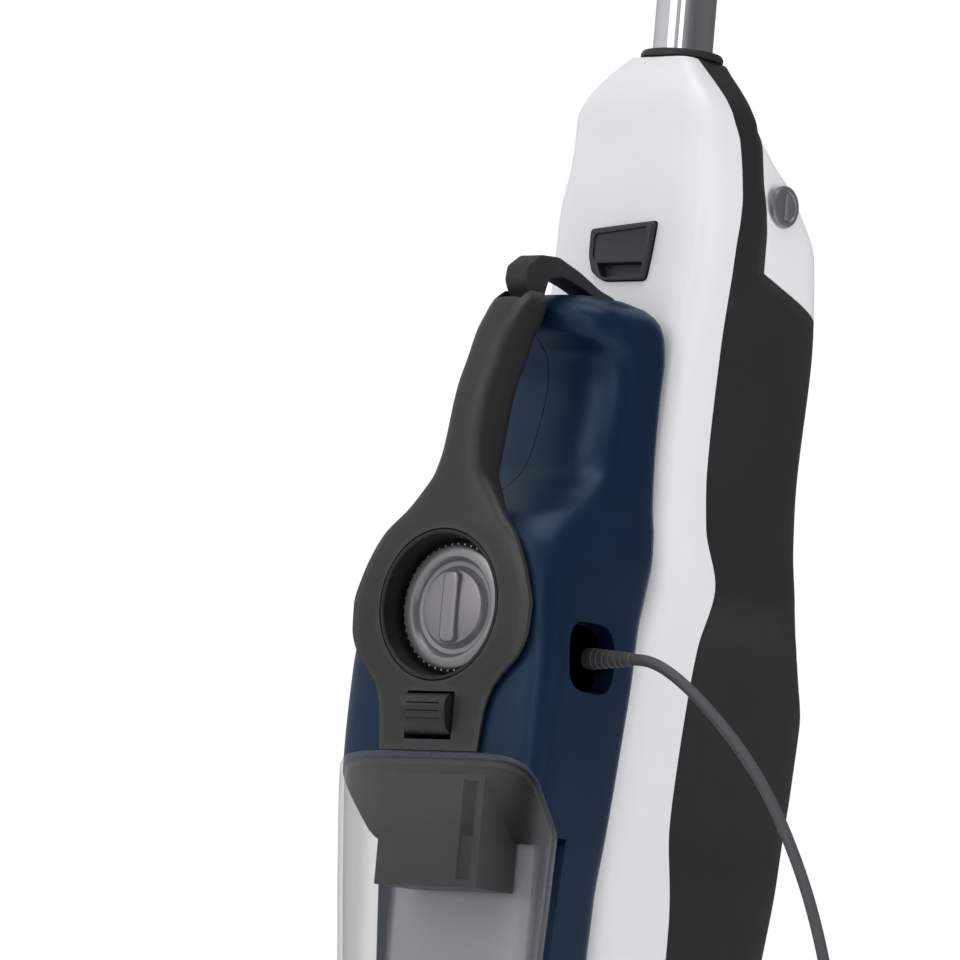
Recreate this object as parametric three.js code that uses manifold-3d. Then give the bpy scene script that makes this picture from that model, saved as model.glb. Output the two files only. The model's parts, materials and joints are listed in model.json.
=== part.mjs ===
// Steam mop with a docked hand vacuum: floor head, tilting and turning neck, upright body with a boiler
// and a water tank, chrome pole with a trigger handle, and a hand vacuum with its dust tank and mains cord.
// Millimetres. X to the right, Y to the rear, Z up. The origin is on the floor, on the axis of the pole.
import * as THREE from "three";
import { mergeVertices } from "three/addons/utils/BufferGeometryUtils.js";
import Module from "manifold-3d";

const wasm = await Module();
wasm.setup();

// ---- driving dimensions -------------------------------------------------------------------------------
const GAP = 0.4; // running gap between neighbouring pieces
const WALL = 2.6; // moulded shell thickness
const SPLIT = 0.2; // half of the gap at a parting line

const POLE_R = 16;
const POLE_WALL = 1.4;
const POLE_FOOT_Z = 618;
const POLE_TOP_Z = 1010;
const BODY_TOP_Z = 711;

const PIVOT_Y = 22; // neck tilt axis
const PIVOT_Z = 42;
const HUB_R = 15;
const STEM_R = 20;
const SPIGOT_R = 17;
const DUCT_R = 12.5;
const NECK_SHOULDER_Z = 118;

const HEAD_HALF_X = 146;
const HEAD_FRONT_Y = -150;
const HEAD_REAR_Y = 92;
const PAD_THICK = 9;
const PLATE_THICK = 3;
const WHEEL_R = 17;
const WHEEL_X = 112;
const WHEEL_Y = 70;

const DIAL_Z = 401;
const DIAL_RECESS_R = 39.5;
const DIAL_KNOB_R = 32.6;
const RIM_FRONT = [-157, 324]; // y and z of the dust tank's sloping rim, front to rear
const RIM_REAR = [-125, 286];
const TANK_REAR_Y = -118;

const BUTTON_Z = 600;
const WATER_SEAT_Y = 16.7;
const WATER_SEAT_Z = 599.2;
const WATER_SLOPE = 0.325; // drop per unit of depth under the water tank

const CORD_R = 3;
const CORD_EXIT = [55, -98, 381];
const RELIEF_END_X = 80;
const COIL_CENTRE = [273, 62];
const COIL_MEAN_R = 42;
const COIL_HALF = 15.6;

// ---- materials ----------------------------------------------------------------------------------------
const material = (color, roughness, metalness = 0, opacity = 1) =>
  new THREE.MeshStandardMaterial({ color, roughness, metalness, opacity, transparent: opacity < 1 });
const finish = {
  white: material(0xe6e9ea, 0.35),
  charcoal: material(0x323233, 0.5),
  grip: material(0x46484a, 0.55),
  navy: material(0x12233f, 0.22),
  slate: material(0x37424c, 0.45),
  silver: material(0x9a9a9c, 0.3, 0.4),
  chrome: material(0xc4c4c6, 0.12, 1),
  steel: material(0x9a9da0, 0.35, 1),
  smoke: material(0xb8bdc2, 0.1, 0, 0.35),
  frosted: material(0xc9ced2, 0.25, 0, 0.5),
  black: material(0x161617, 0.6),
  rubber: material(0x222222, 0.85),
  cable: material(0x66676a, 0.6),
  pad: material(0xdfe3e6, 0.95),
  board: material(0x1d5a3a, 0.6),
  filter: material(0xd9d5c8, 0.9),
};

// ---- solids -------------------------------------------------------------------------------------------
// A closed geometry as a manifold solid.
function solid(geometry) {
  const bare = geometry.index ? geometry.toNonIndexed() : geometry.clone();
  bare.deleteAttribute("normal");
  bare.deleteAttribute("uv");
  const merged = mergeVertices(bare, 1e-4);
  const vertProperties = new Float32Array(merged.attributes.position.array);
  const triVerts = new Uint32Array(merged.index.array);
  return new wasm.Manifold(new wasm.Mesh({ numProp: 3, vertProperties, triVerts }));
}

function geometryOf(shape) {
  const mesh = shape.getMesh();
  const position = new THREE.BufferAttribute(new Float32Array(mesh.vertProperties), 3);
  return new THREE.BufferGeometry()
    .setAttribute("position", position)
    .setIndex(new THREE.BufferAttribute(new Uint32Array(mesh.triVerts), 1))
    .toNonIndexed();
}

const basis = (x, y, z) => new THREE.Matrix4().makeBasis(...[x, y, z].map((v) => new THREE.Vector3(...v)));
const outlineOf = (points) => new THREE.Shape(points.map(([a, b]) => new THREE.Vector2(a, b)));

// An outline extruded along one axis: side outlines are (y, z), front outlines (x, z), plan outlines (x, y).
function extruded(shape, depth, axes, offset) {
  const made = new THREE.ExtrudeGeometry(shape, { depth, bevelEnabled: false, curveSegments: 5 });
  return solid(made.applyMatrix4(axes).translate(...offset));
}
const SIDE = basis([0, 1, 0], [0, 0, 1], [1, 0, 0]);
const FRONT = basis([1, 0, 0], [0, 0, 1], [0, -1, 0]);
const side = (points, x0, x1) => extruded(outlineOf(points), x1 - x0, SIDE, [x0, 0, 0]);
const front = (points, y0, y1) => extruded(outlineOf(points), y1 - y0, FRONT, [0, y1, 0]);
const plan = (shape, z0, z1) => extruded(shape, z1 - z0, new THREE.Matrix4(), [0, 0, z0]);

const box = ([x0, x1], [y0, y1], [z0, z1]) => {
  const made = new THREE.BoxGeometry(x1 - x0, y1 - y0, z1 - z0);
  return solid(made.translate((x0 + x1) / 2, (y0 + y1) / 2, (z0 + z1) / 2));
};

// A rod from one point along X, Y or Z.
function rod(axis, radius, [x, y, z], length, segments = 20, endRadius = radius) {
  const made = new THREE.CylinderGeometry(endRadius, radius, length, segments).translate(0, length / 2, 0);
  if (axis === "x") made.rotateZ(-Math.PI / 2);
  if (axis === "z") made.rotateX(Math.PI / 2);
  return solid(made.translate(x, y, z));
}

// A turned piece; the profile is (radius, height) from bottom to top, and its axis points to +Z or to -Y.
function turned(profile, [x, y, z] = [0, 0, 0], { segments = 22, forward = false } = {}) {
  const points = profile.map(([r, h]) => new THREE.Vector2(r, h));
  const made = new THREE.LatheGeometry(points, segments).rotateX(forward ? Math.PI : Math.PI / 2);
  return solid(made.translate(x, y, z));
}
const ring = (inner, outer, z0, z1, at = [0, 0, 0], options = {}) =>
  turned([[inner, z0], [outer, z0], [outer, z1], [inner, z1], [inner, z0]], at, options);

// A tube or rod swept along a smooth line.
function swept(points, radius, steps, sides, bore = 0) {
  const circle = new THREE.Shape().absarc(0, 0, radius, 0, Math.PI * 2);
  if (bore) circle.holes.push(new THREE.Path().absarc(0, 0, bore, 0, Math.PI * 2, true));
  const line = points.map((p) => new THREE.Vector3(...p));
  const extrudePath = new THREE.CatmullRomCurve3(line, false, "centripetal");
  const options = { extrudePath, steps, curveSegments: sides, bevelEnabled: false };
  return solid(new THREE.ExtrudeGeometry(circle, options));
}

const roundedBox = (x0, x1, y0, y1, r) => {
  const shape = new THREE.Shape();
  shape.moveTo(x0 + r, y0).lineTo(x1 - r, y0).absarc(x1 - r, y0 + r, r, -Math.PI / 2, 0);
  shape.lineTo(x1, y1 - r).absarc(x1 - r, y1 - r, r, 0, Math.PI / 2);
  shape.lineTo(x0 + r, y1).absarc(x0 + r, y1 - r, r, Math.PI / 2, Math.PI);
  return shape.lineTo(x0, y0 + r).absarc(x0 + r, y0 + r, r, Math.PI, Math.PI * 1.5);
};

// A moulded form through level sections, each with its z, the half widths at its front and rear, and its
// front and rear y. A section is a rounded box whose squareness grows with power, front half and rear half.
// A section's sixth entry is its own front power; inset shrinks every section.
function moulded(sections, { power = [3, 3], inset = 0, around = 28 } = {}) {
  const rings = sections.map(([z, wideFront, wideRear, front, rear, frontPower = power[0]]) => {
    const middle = (front + rear) / 2;
    const deep = (rear - front) / 2 - inset;
    return Array.from({ length: around }, (_, i) => {
      const turn = (i / around) * Math.PI * 2;
      const square = Math.sin(turn) < 0 ? frontPower : power[1];
      const rounded = (v) => Math.sign(v) * Math.abs(v) ** (2 / square);
      const back = rounded(Math.sin(turn));
      const wide = wideFront + ((wideRear - wideFront) * (back + 1)) / 2 - inset;
      return [wide * rounded(Math.cos(turn)), middle + deep * back, z];
    });
  });
  const position = rings.flat(2);
  const index = [];
  rings.slice(1).forEach((_, k) => {
    for (let i = 0; i < around; i++) {
      const a = k * around + i;
      const b = k * around + ((i + 1) % around);
      index.push(a, b, b + around, a, b + around, a + around);
    }
  });
  const last = (rings.length - 1) * around;
  for (let i = 1; i < around - 1; i++) {
    index.push(0, i + 1, i);
    index.push(last, last + i, last + i + 1);
  }
  const made = new THREE.BufferGeometry();
  made.setAttribute("position", new THREE.Float32BufferAttribute(position, 3));
  return solid(made.setIndex(index));
}

const levels = (sections, low, high) => {
  const at = (z) => {
    const k = sections.findIndex((s, i) => i > 0 && (s[0] - z) * (sections[i - 1][0] - z) <= 0);
    const [a, b] = [sections[k - 1], sections[k]];
    const t = (z - a[0]) / (b[0] - a[0]);
    return a.map((v, i) => v + (b[i] - v) * t);
  };
  return [at(low), ...sections.filter(([z]) => z > low + 1 && z < high - 1), at(high)];
};

const model = new THREE.Group();
function add(name, shape, look) {
  const mesh = new THREE.Mesh(geometryOf(shape), look);
  mesh.name = name;
  model.add(mesh);
}

// ---- upright body -------------------------------------------------------------------------------------
const BODY = [
  [128, 34, 34, -44, 48],
  [136, 39, 39, -52, 56],
  [160, 43, 43, -62, 68],
  [200, 45, 45, -68, 82],
  [240, 46, 46, -69, 92],
  [270, 46, 46, -68, 98],
  [302, 45, 45, -65, 103],
  [335, 46, 46, -62, 106],
  [366, 47.5, 47.5, -59, 107],
  [397, 50, 50, -55.5, 97.6],
  [429, 55, 55, -52, 84.2],
  [460, 52, 52, -50, 81.8],
  [492, 50.5, 50.5, -48, 81.5],
  [555, 52, 52, -43, 83.6],
  [602, 54, 54, -37, 77.4],
  [617, 54, 54, -36.5, 74.4],
  [632, 52.5, 52.5, -36, 65.4],
  [648, 49, 49, -35, 54],
  [663, 47, 47, -34, 34.5],
  [678, 46, 46, -33.6, 20.6],
  [687, 42, 42, -33, 19.5],
  [696, 31.5, 31.5, -29, 19.5],
  [704, 25.5, 25.5, -25.5, 19.5],
  [BODY_TOP_Z, 21.8, 21.8, -22.6, 19.5],
];
// The line where the white front shell meets the charcoal rear shell, (y, z) from bottom to top.
const PARTING = [
  [-8, 100],
  [-6.4, 250],
  [-11.3, 302],
  [-8.8, 366],
  [-6.8, 397],
  [-2.5, 429],
  [-10.6, 460],
  [-12, 492],
  [-11, 555],
  [-7.6, 610],
  [-1, 652],
  [-2.4, 666],
  [-9, 680],
  [-12, 740],
];
const shifted = (line, dy) => line.map(([y, z]) => [y + dy, z]);
const underTank = (y) => WATER_SEAT_Z - (y - WATER_SEAT_Y) * WATER_SLOPE;
const FAR = 130;

const BODY_CORNERS = { power: [7, 5] };
const bodyForm = moulded(BODY, BODY_CORNERS);
const bodyInner = moulded(BODY.slice(1, -1), { ...BODY_CORNERS, inset: WALL });
const hollowProfile = [
  [-100, 120],
  [110, 120],
  [110, underTank(110) - WALL],
  [WATER_SEAT_Y - WALL, WATER_SEAT_Z - WALL],
  [WATER_SEAT_Y - WALL, 700],
  [-100, 700],
];
const SLEEVE_R = 24;
const sleeve = (radius, z0, z1) => rod("z", radius, [0, 0, z0], z1 - z0, 24);
const bodyHollow = bodyInner
  .intersect(side(hollowProfile, -70, 70))
  .add(sleeve(SLEEVE_R - WALL, WATER_SEAT_Z - 4, 700));
const frontSide = side([...shifted(PARTING, -SPLIT), [-FAR, 740], [-FAR, 100]], -80, 80);
const rearProfile = [...shifted(PARTING, SPLIT).reverse(), [FAR, 100], [FAR, underTank(FAR)]];
const rearSide = side([...rearProfile, [WATER_SEAT_Y, WATER_SEAT_Z], [WATER_SEAT_Y, 740]], -80, 80).add(
  sleeve(SLEEVE_R, WATER_SEAT_Z - 8, 740).intersect(box([-40, 40], [WATER_SEAT_Y - 4, 40], [500, 740])),
);
const poleHole = rod("z", POLE_R + GAP, [0, 0, 600], 160);
const bearingHole = rod("z", 24.4, [0, 0, 110], 40);

const DUCT_MOUTH_Z = 190;
const ductHole = rod("y", DUCT_R + 2.8, [0, -100, DUCT_MOUTH_Z], 60);
const buttonOutline = (low, high) => [
  [-19 - low, BUTTON_Z + 15.5 + high],
  [-19 - low, BUTTON_Z + 1],
  [-16 - low, BUTTON_Z - 8 - low],
  [-8, BUTTON_Z - 12 - low],
  [19 + low, BUTTON_Z - 12 - low],
  [22 + low, BUTTON_Z + 19 + high],
];
const buttonWell = front(buttonOutline(1, 1.3), -60, -20);

const bodyCuts = (shape) => shape.subtract(bodyHollow).subtract(poleHole).subtract(bearingHole);
add(
  "front_shell",
  bodyCuts(bodyForm.intersect(frontSide)).subtract(ductHole).subtract(buttonWell),
  finish.white,
);
const VALVE_Y = 48;
const valveHole = rod("z", 5.4, [0, VALVE_Y, 566], 40);
add("rear_shell", bodyCuts(bodyForm.intersect(rearSide)).subtract(valveHole), finish.charcoal);

// A snug collar where the pole enters the body.
add("pole_collar", ring(POLE_R + GAP, 22, BODY_TOP_Z + GAP, BODY_TOP_Z + 5), finish.charcoal);
const SCREW_Z = POLE_FOOT_Z + 40;
const screwHole = rod("y", 2.5, [0, -30, SCREW_Z], 20, 12);
const socket = ring(POLE_R + GAP, 21, POLE_FOOT_Z - 4, POLE_FOOT_Z + 60).subtract(screwHole);
add("pole_socket", socket, finish.black);
add("pole", ring(POLE_R - POLE_WALL, POLE_R, POLE_FOOT_Z, POLE_TOP_Z).subtract(screwHole), finish.chrome);
const screwHead = rod("y", 4, [0, -24.2, SCREW_Z], 2.8, 12);
add("pole_screw", rod("y", 2.2, [0, -23, SCREW_Z], 10, 12).add(screwHead), finish.steel);

// Boiler with domed ends, feed pump, control board and the hoses between them.
const BOILER_R = 27;
const boilerProfile = [
  [0, 232],
  [17, 234],
  [BOILER_R, 243],
  [BOILER_R, 316],
  [17, 325],
  [0, 327],
];
add("boiler", turned(boilerProfile, [0, 36, 0]), finish.steel);
add("boiler_cradle", ring(BOILER_R + GAP, BOILER_R + 3.4, 262, 272, [0, 36, 0]), finish.black);
const pumpBody = box([-17, 17], [26, 60], [356, 402]);
add("pump", pumpBody.add(rod("z", 9, [0, 43, 402], 16, 20)), finish.charcoal);
add("control_board", box([-32, 32], [52, 53.8], [430, 512]), finish.board);
const feedHose = [
  [0, 43, 419],
  [0, 43, 424],
  [8, 40, 440],
  [14, 32, 480],
  [10, 36, 545],
  [4, 44, 566],
  [0, 48, 577.8],
];
add("water_hose", swept(feedHose, 3.5, 24, 4), finish.frosted);
const riser = [
  [0, 38, 355.4],
  [0, 38, 346],
  [0, 37, 338],
  [0, 36, 328],
];
add("boiler_feed_pipe", swept(riser, 3, 8, 4), finish.steel);
const steamLine = [
  [0, 36, 231.4],
  [0, 37, 222],
  [0, 42, 200],
  [0, 40, 170],
  [0, 34, 140],
];
add("steam_hose", swept(steamLine, 3.6, 14, 4), finish.rubber);

// Suction duct from the neck to the dock mouth.
const airLine = [
  [0, 0, 152],
  [0, 0, 160],
  [0, -6, 176],
  [0, -22, 187],
  [0, -40, DUCT_MOUTH_Z],
  [0, -68, DUCT_MOUTH_Z],
];
add("suction_duct", swept(airLine, DUCT_R + 2.2, 10, 6, DUCT_R), finish.black);

// Release button: its face stands proud of the front shell and its foot is guided by the body.
const buttonScoop = [
  [-16, BUTTON_Z + 12],
  [-16, BUTTON_Z - 1],
  [17, BUTTON_Z - 1],
  [19, BUTTON_Z + 15.5],
];
const buttonLip = [
  [-12, BUTTON_Z - 4],
  [-9, BUTTON_Z - 10],
  [16.6, BUTTON_Z - 10],
  [17.2, BUTTON_Z - 4],
];
const BUTTON_FRONT_Y = -41;
const springPocket = rod("y", 5, [0, -33, BUTTON_Z], 6, 16);
const button = front(buttonOutline(0, 0), BUTTON_FRONT_Y, -29)
  .subtract(front(buttonScoop, -60, BUTTON_FRONT_Y + 1.6))
  .subtract(front(buttonLip, -60, BUTTON_FRONT_Y + 6))
  .subtract(springPocket);
add("release_button", button, finish.slate);
add("button_bracket", box([-44.4, 44.4], [-19, -16.6], [BUTTON_Z - 6, BUTTON_Z + 6]), finish.black);
const springAt = [0, -19.4, BUTTON_Z];
add("button_spring", ring(3, 4.4, 0, 10.2, springAt, { segments: 16, forward: true }), finish.steel);

// ---- water tank ---------------------------------------------------------------------------------------
const tankZone = side(
  [
    [WATER_SEAT_Y + GAP, 700],
    [WATER_SEAT_Y + GAP, underTank(WATER_SEAT_Y) + GAP],
    [FAR, underTank(FAR) + GAP],
    [FAR, 700],
  ],
  -80,
  80,
);
const waterInner = moulded(BODY.slice(12, 21), { ...BODY_CORNERS, inset: WALL });
const waterHollowZone = side(
  [
    [WATER_SEAT_Y + GAP + WALL, 664],
    [WATER_SEAT_Y + GAP + WALL, underTank(WATER_SEAT_Y) + WALL + 1],
    [FAR, underTank(FAR) + WALL + 1],
    [FAR, 664],
  ],
  -80,
  80,
);
const CAP_AT = [40, 29.6, 637];
const CAP_R = 8;
const waterTank = bodyForm
  .intersect(tankZone)
  .subtract(sleeve(SLEEVE_R + GAP, 560, 740))
  .subtract(waterInner.intersect(waterHollowZone).subtract(sleeve(SLEEVE_R + GAP + WALL, 560, 740)))
  .subtract(rod("x", CAP_R + GAP, CAP_AT, 40))
  .subtract(valveHole);
add("water_tank", waterTank, finish.frosted);
// The filler cap closes the right side of the water tank.
const capFlange = rod("x", 11.4, [53.2, CAP_AT[1], CAP_AT[2]], 2.6, 28, 10.4);
add("filler_cap", rod("x", CAP_R, CAP_AT, 13.4, 24).add(capFlange), finish.silver);
add("tank_valve", rod("z", 5, [0, VALVE_Y, 580.2], 10, 16), finish.rubber);

// ---- handle -------------------------------------------------------------------------------------------
const HANDLE = [
  [996, 22, 22, -22, 22],
  [1004, 23, 23, -24, 23],
  [1030, 19, 19, -23, 19],
  [1060, 17, 17, -22, 18],
  [1110, 17, 17, -19, 22],
  [1150, 19, 19, -16, 27],
  [1164, 17, 17, -12, 26],
  [1170, 10, 10, -4, 18],
];
const GRIP_CORNERS = { power: [2.6, 2.6], around: 24 };
const handleForm = moulded(HANDLE, GRIP_CORNERS);
const handleHollow = moulded(HANDLE.slice(1, -1), { ...GRIP_CORNERS, inset: WALL });
const poleTopHole = rod("z", POLE_R + GAP, [0, 0, 980], 40);
const triggerSlot = box([-7.4, 7.4], [-60, -5], [1062, 1122]);
const handleShell = (zone) => handleForm.intersect(zone).subtract(handleHollow).subtract(poleTopHole);
const HANDLE_SPLIT_Y = 2;
const frontZone = box([-60, 60], [-60, HANDLE_SPLIT_Y - SPLIT], [980, 1180]);
const rearZone = box([-60, 60], [HANDLE_SPLIT_Y + SPLIT, 60], [980, 1180]);
const TRIGGER_PIVOT = [-16, 1113];
const triggerPinHole = rod("x", 2.3, [-20, ...TRIGGER_PIVOT], 40, 14);
const handleFront = handleShell(frontZone).subtract(triggerSlot).subtract(triggerPinHole);
add("handle_front", handleFront, finish.charcoal);
add("handle_rear", handleShell(rearZone), finish.white);
const triggerProfile = [
  [-12, 1118],
  [-24, 1115],
  [-31, 1100],
  [-33, 1080],
  [-28, 1067],
  [-12, 1066],
];
add("steam_trigger", side(triggerProfile, -6.8, 6.8).subtract(triggerPinHole), finish.slate);
add("trigger_pin", rod("x", 2, [-14, ...TRIGGER_PIVOT], 28, 14), finish.steel);
add("trigger_switch", box([-6, 6], [-7, 1.5], [1070, 1088]), finish.black);

// Swivelling upper cord hook at the back of the pole and the fixed one on the body.
const upperHookProfile = [
  [17, 1030],
  [17, 1042],
  [44, 1050],
  [52, 1062],
  [56, 1060],
  [49, 1040],
  [36, 1030],
];
const upperHook = side(upperHookProfile, -7, 7);
const hookClear = handleForm.add(rod("z", 24.4, [0, 0, 1028], 16));
const hookRing = ring(24.8, 28.4, 1028, 1044);
add("upper_cord_hook", upperHook.subtract(hookClear).add(hookRing), finish.charcoal);
const lowerHookProfile = [
  [90, 318],
  [90, 334],
  [112, 330],
  [124, 314],
  [120, 310],
  [106, 320],
];
const lowerHook = side(lowerHookProfile, -8, 8);
add("lower_cord_hook", lowerHook.subtract(moulded(BODY, { ...BODY_CORNERS, inset: -GAP })), finish.charcoal);

// ---- neck ---------------------------------------------------------------------------------------------
const hub = rod("x", HUB_R, [-26, PIVOT_Y, PIVOT_Z], 52, 28);
const stemProfile = [
  [0, PIVOT_Z + 16],
  [STEM_R - 3, PIVOT_Z + 20],
  [STEM_R, PIVOT_Z + 32],
  [STEM_R, NECK_SHOULDER_Z],
  [SPIGOT_R, NECK_SHOULDER_Z],
  [SPIGOT_R, 151],
  [0, 151],
];
const shank = side([[6, 60], [12, 34], [32, 34], [36, 44], [20, 76], [-14, 76], [-16, 68]], -16, 16);
const neckBore = rod("z", DUCT_R, [0, 0, 70], 100).add(
  swept([[0, 0, 74], [0, 1, 66], [0, 5, 58], [0, 9, 52]], 8, 6, 8),
);
const pinHole = rod("x", 5.3, [-40, PIVOT_Y, PIVOT_Z], 80, 20);
const neckBody = turned(stemProfile).add(shank).add(hub).subtract(neckBore).subtract(pinHole);
add("neck", neckBody, finish.charcoal);
add("tilt_pin", rod("x", 5, [-44, PIVOT_Y, PIVOT_Z], 88, 20), finish.steel);
add("swivel_bearing", ring(SPIGOT_R + GAP, 24, NECK_SHOULDER_Z + GAP, 143), finish.black);
add("swivel_clip", ring(SPIGOT_R + 0.3, 22.5, 144, 147.5), finish.steel);

// ---- floor head ---------------------------------------------------------------------------------------
const PLATE_Z = PAD_THICK + GAP;
const BASE_Z = PLATE_Z + PLATE_THICK + GAP;
const COVER_Z = 34;
const padShape = roundedBox(-138, 138, -118, 48, 26);
add("mop_pad", plan(padShape, 0, PAD_THICK), finish.pad);
const steamHoles = [-84, -28, 28, 84].map((x) => rod("z", 2.4, [x, -70, 0], 40, 10));
const plate = plan(roundedBox(-134, 134, -114, 44, 24), PLATE_Z, PLATE_Z + PLATE_THICK);
add("steam_plate", steamHoles.reduce((made, hole) => made.subtract(hole), plate), finish.silver);

const headShape = roundedBox(-HEAD_HALF_X, HEAD_HALF_X, HEAD_FRONT_Y, HEAD_REAR_Y, 30);
const headInner = roundedBox(-HEAD_HALF_X + 3, HEAD_HALF_X - 3, HEAD_FRONT_Y + 3, HEAD_REAR_Y - 3, 27);
const wheelWell = (x) => box([x - 9.5, x + 9.5], [WHEEL_Y - 20, WHEEL_Y + 30], [0, 40]);
const wheelWells = wheelWell(WHEEL_X).add(wheelWell(-WHEEL_X));
const axleHoles = rod("x", 3.4, [-140, WHEEL_Y, WHEEL_R + 0.2], 280, 16);
const neckBay = box([-27, 27], [-24, 120], [BASE_Z + 3, 80]);
const suctionMouth = box([-118, 118], [-144, -126], [0, 29]);
const pillow = (x0, x1) => box([x0, x1], [PIVOT_Y - 12, PIVOT_Y + 12], [BASE_Z + 2, PIVOT_Z]).add(
  rod("x", 12, [x0, PIVOT_Y, PIVOT_Z], x1 - x0, 24),
);
const steamPort = rod("z", 5, [60, -30, 0], 60, 16);
const mouthWalls = box([-121, 121], [-147, -123], [3, 31]);
const ductPort = rod("y", 7.6, [0, -135, 24.6], 20, 16);
const wellWalls = (x) => box([x - 12, x + 12], [WHEEL_Y - 23, HEAD_REAR_Y - 4], [BASE_Z + 1, 33.2]);
const headBase = plan(headShape, BASE_Z, COVER_Z - GAP)
  .subtract(plan(headInner, BASE_Z + 3, 60))
  .add(mouthWalls)
  .add(wellWalls(WHEEL_X))
  .add(wellWalls(-WHEEL_X))
  .subtract(suctionMouth)
  .subtract(ductPort)
  .subtract(wheelWells)
  .subtract(axleHoles)
  .subtract(steamPort)
  .subtract(box([-27, 27], [40, 120], [BASE_Z + 3, 80]))
  .add(pillow(28, 43))
  .add(pillow(-43, -28))
  .subtract(pinHole.add(rod("x", 5.3, [-60, PIVOT_Y, PIVOT_Z], 120, 20)));
add("head_base", headBase, finish.charcoal);

const COVER = [
  [COVER_Z, 146, 146, -150, 92],
  [42, 145, 145, -149, 90],
  [50, 138, 138, -141, 76],
  [57, 122, 118, -120, 62],
  [60, 96, 90, -92, 52],
];
const COVER_CORNERS = { power: [7, 7], around: 44 };
const coverForm = moulded(COVER, COVER_CORNERS);
const coverSkirt = [COVER_Z - 1, ...COVER[0].slice(1)];
const coverInner = moulded([coverSkirt, ...COVER.slice(1)], { ...COVER_CORNERS, inset: 2.8 });
const coverHollow = coverInner.intersect(box([-200, 200], [-200, 200], [COVER_Z - 2, 57]));
const pillowClear = box([-44, 44], [PIVOT_Y - 13, PIVOT_Y + 13], [COVER_Z - 4, PIVOT_Z + 13]);
add("head_cover", coverForm.subtract(coverHollow).subtract(neckBay).subtract(pillowClear), finish.white);

const AXLE_Z = WHEEL_R + 0.2;
add("wheel_axle", rod("x", 3, [-128, WHEEL_Y, AXLE_Z], 256, 16), finish.steel);
const hubBore = rod("x", 3.3, [-130, WHEEL_Y, AXLE_Z], 260, 16);
const wheel = (x) => rod("x", WHEEL_R, [x - 8, WHEEL_Y, AXLE_Z], 16, 32).subtract(hubBore);
add("wheel_left", wheel(-WHEEL_X), finish.rubber);
add("wheel_right", wheel(WHEEL_X), finish.rubber);
const headDuct = [
  [0, -122.4, 24.6],
  [0, -100, 25.4],
  [0, -60, 28],
  [0, -24, 32],
];
add("head_duct", swept(headDuct, 8.6, 6, 6, 7), finish.black);

// ---- hand vacuum --------------------------------------------------------------------------------------
const VAC = [
  [150, 52, 46, -148, -72, 5.5],
  [156, 56, 48.5, -151, -70.4, 5.5],
  [200, 60, 50, -152, -70.4, 5.5],
  [260, 66, 53, -154, -70.4, 6],
  [290, 68, 55.5, -155, -68.2, 7],
  [331, 69.5, 57.5, -156, -64.5, 7],
  [370, 69, 58.5, -154.8, -60.5, 7],
  [400, 66, 57.5, -153.2, -57, 6],
  [420, 63, 59, -152.2, -54.5, 5.4],
  [436, 59.5, 60.5, -150, -53, 4.4],
  [450, 55, 58.8, -141, -52, 3.8],
  [464, 50, 54.8, -120, -51.2, 3.4],
  [480, 46.5, 51.8, -101, -50.4, 3.1],
  [500, 45.5, 49.5, -93, -49, 3],
  [526, 45, 48.5, -88, -47.5, 3],
  [540, 43.5, 48.5, -91, -46, 3],
  [551, 39, 48, -103, -45.5, 3],
  [561, 36, 45, -105, -47, 3],
  [568, 30, 37, -100, -52, 3],
  [572, 22, 26, -92, -60, 3],
];
const RIM_SLOPE = (RIM_FRONT[1] - RIM_REAR[1]) / (RIM_FRONT[0] - RIM_REAR[0]);
const rimAt = (y) => RIM_REAR[1] + (y - RIM_REAR[0]) * RIM_SLOPE;
const RIM_OUT_Y = -170;
const vacOptions = { power: [7, 7] };
const vacForm = moulded(VAC, vacOptions);
const vacInner = moulded(VAC.slice(1, -1), { ...vacOptions, inset: WALL });
// Side profile above the sloping rim, which goes on down behind the dust tank as a spine.
const caseProfile = (rise, back) => [
  [RIM_OUT_Y, rimAt(RIM_OUT_Y) + rise],
  [RIM_REAR[0], RIM_REAR[1] + rise],
  [TANK_REAR_Y + back, RIM_REAR[1] + rise],
  [TANK_REAR_Y + back, 140],
  [-30, 140],
  [-30, 600],
  [RIM_OUT_Y, 600],
];
const caseHollow = vacInner.intersect(side(caseProfile(SPLIT + WALL, GAP + WALL), -80, 80));
const filterPort = box([-28, 28], [-146, -126], [270, 330]);
const dialHole = rod("y", DIAL_RECESS_R, [0, -170, DIAL_Z], 40, 30);
const tabHole = box([-15.6, 15.6], [-160, -140], [331, 357]);
const casing = vacForm
  .intersect(side(caseProfile(SPLIT, GAP), -80, 80))
  .subtract(caseHollow)
  .subtract(filterPort)
  .subtract(dialHole)
  .subtract(tabHole)
  .subtract(rod("y", DUCT_R + 0.6, [0, -90, DUCT_MOUTH_Z], 40));
const GLAND_Y = [-132, -90]; // pocket in the right side round the cord exit
const GLAND_Z = [362, 398];
const glandHole = box([44, 70], GLAND_Y, GLAND_Z);
const vents = [0, 1, 2, 3, 4].map((k) => box([-80, -44], [-104, -78], [356 + k * 8, 360 + k * 8]));
const rightHalf = casing.intersect(box([SPLIT, 80], [-180, -30], [100, 600])).subtract(glandHole);
const leftHalf = casing.intersect(box([-80, -SPLIT], [-180, -30], [100, 600]));
add("vac_case_right", rightHalf, finish.navy);
add("vac_case_left", vents.reduce((made, slot) => made.subtract(slot), leftHalf), finish.navy);

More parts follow.
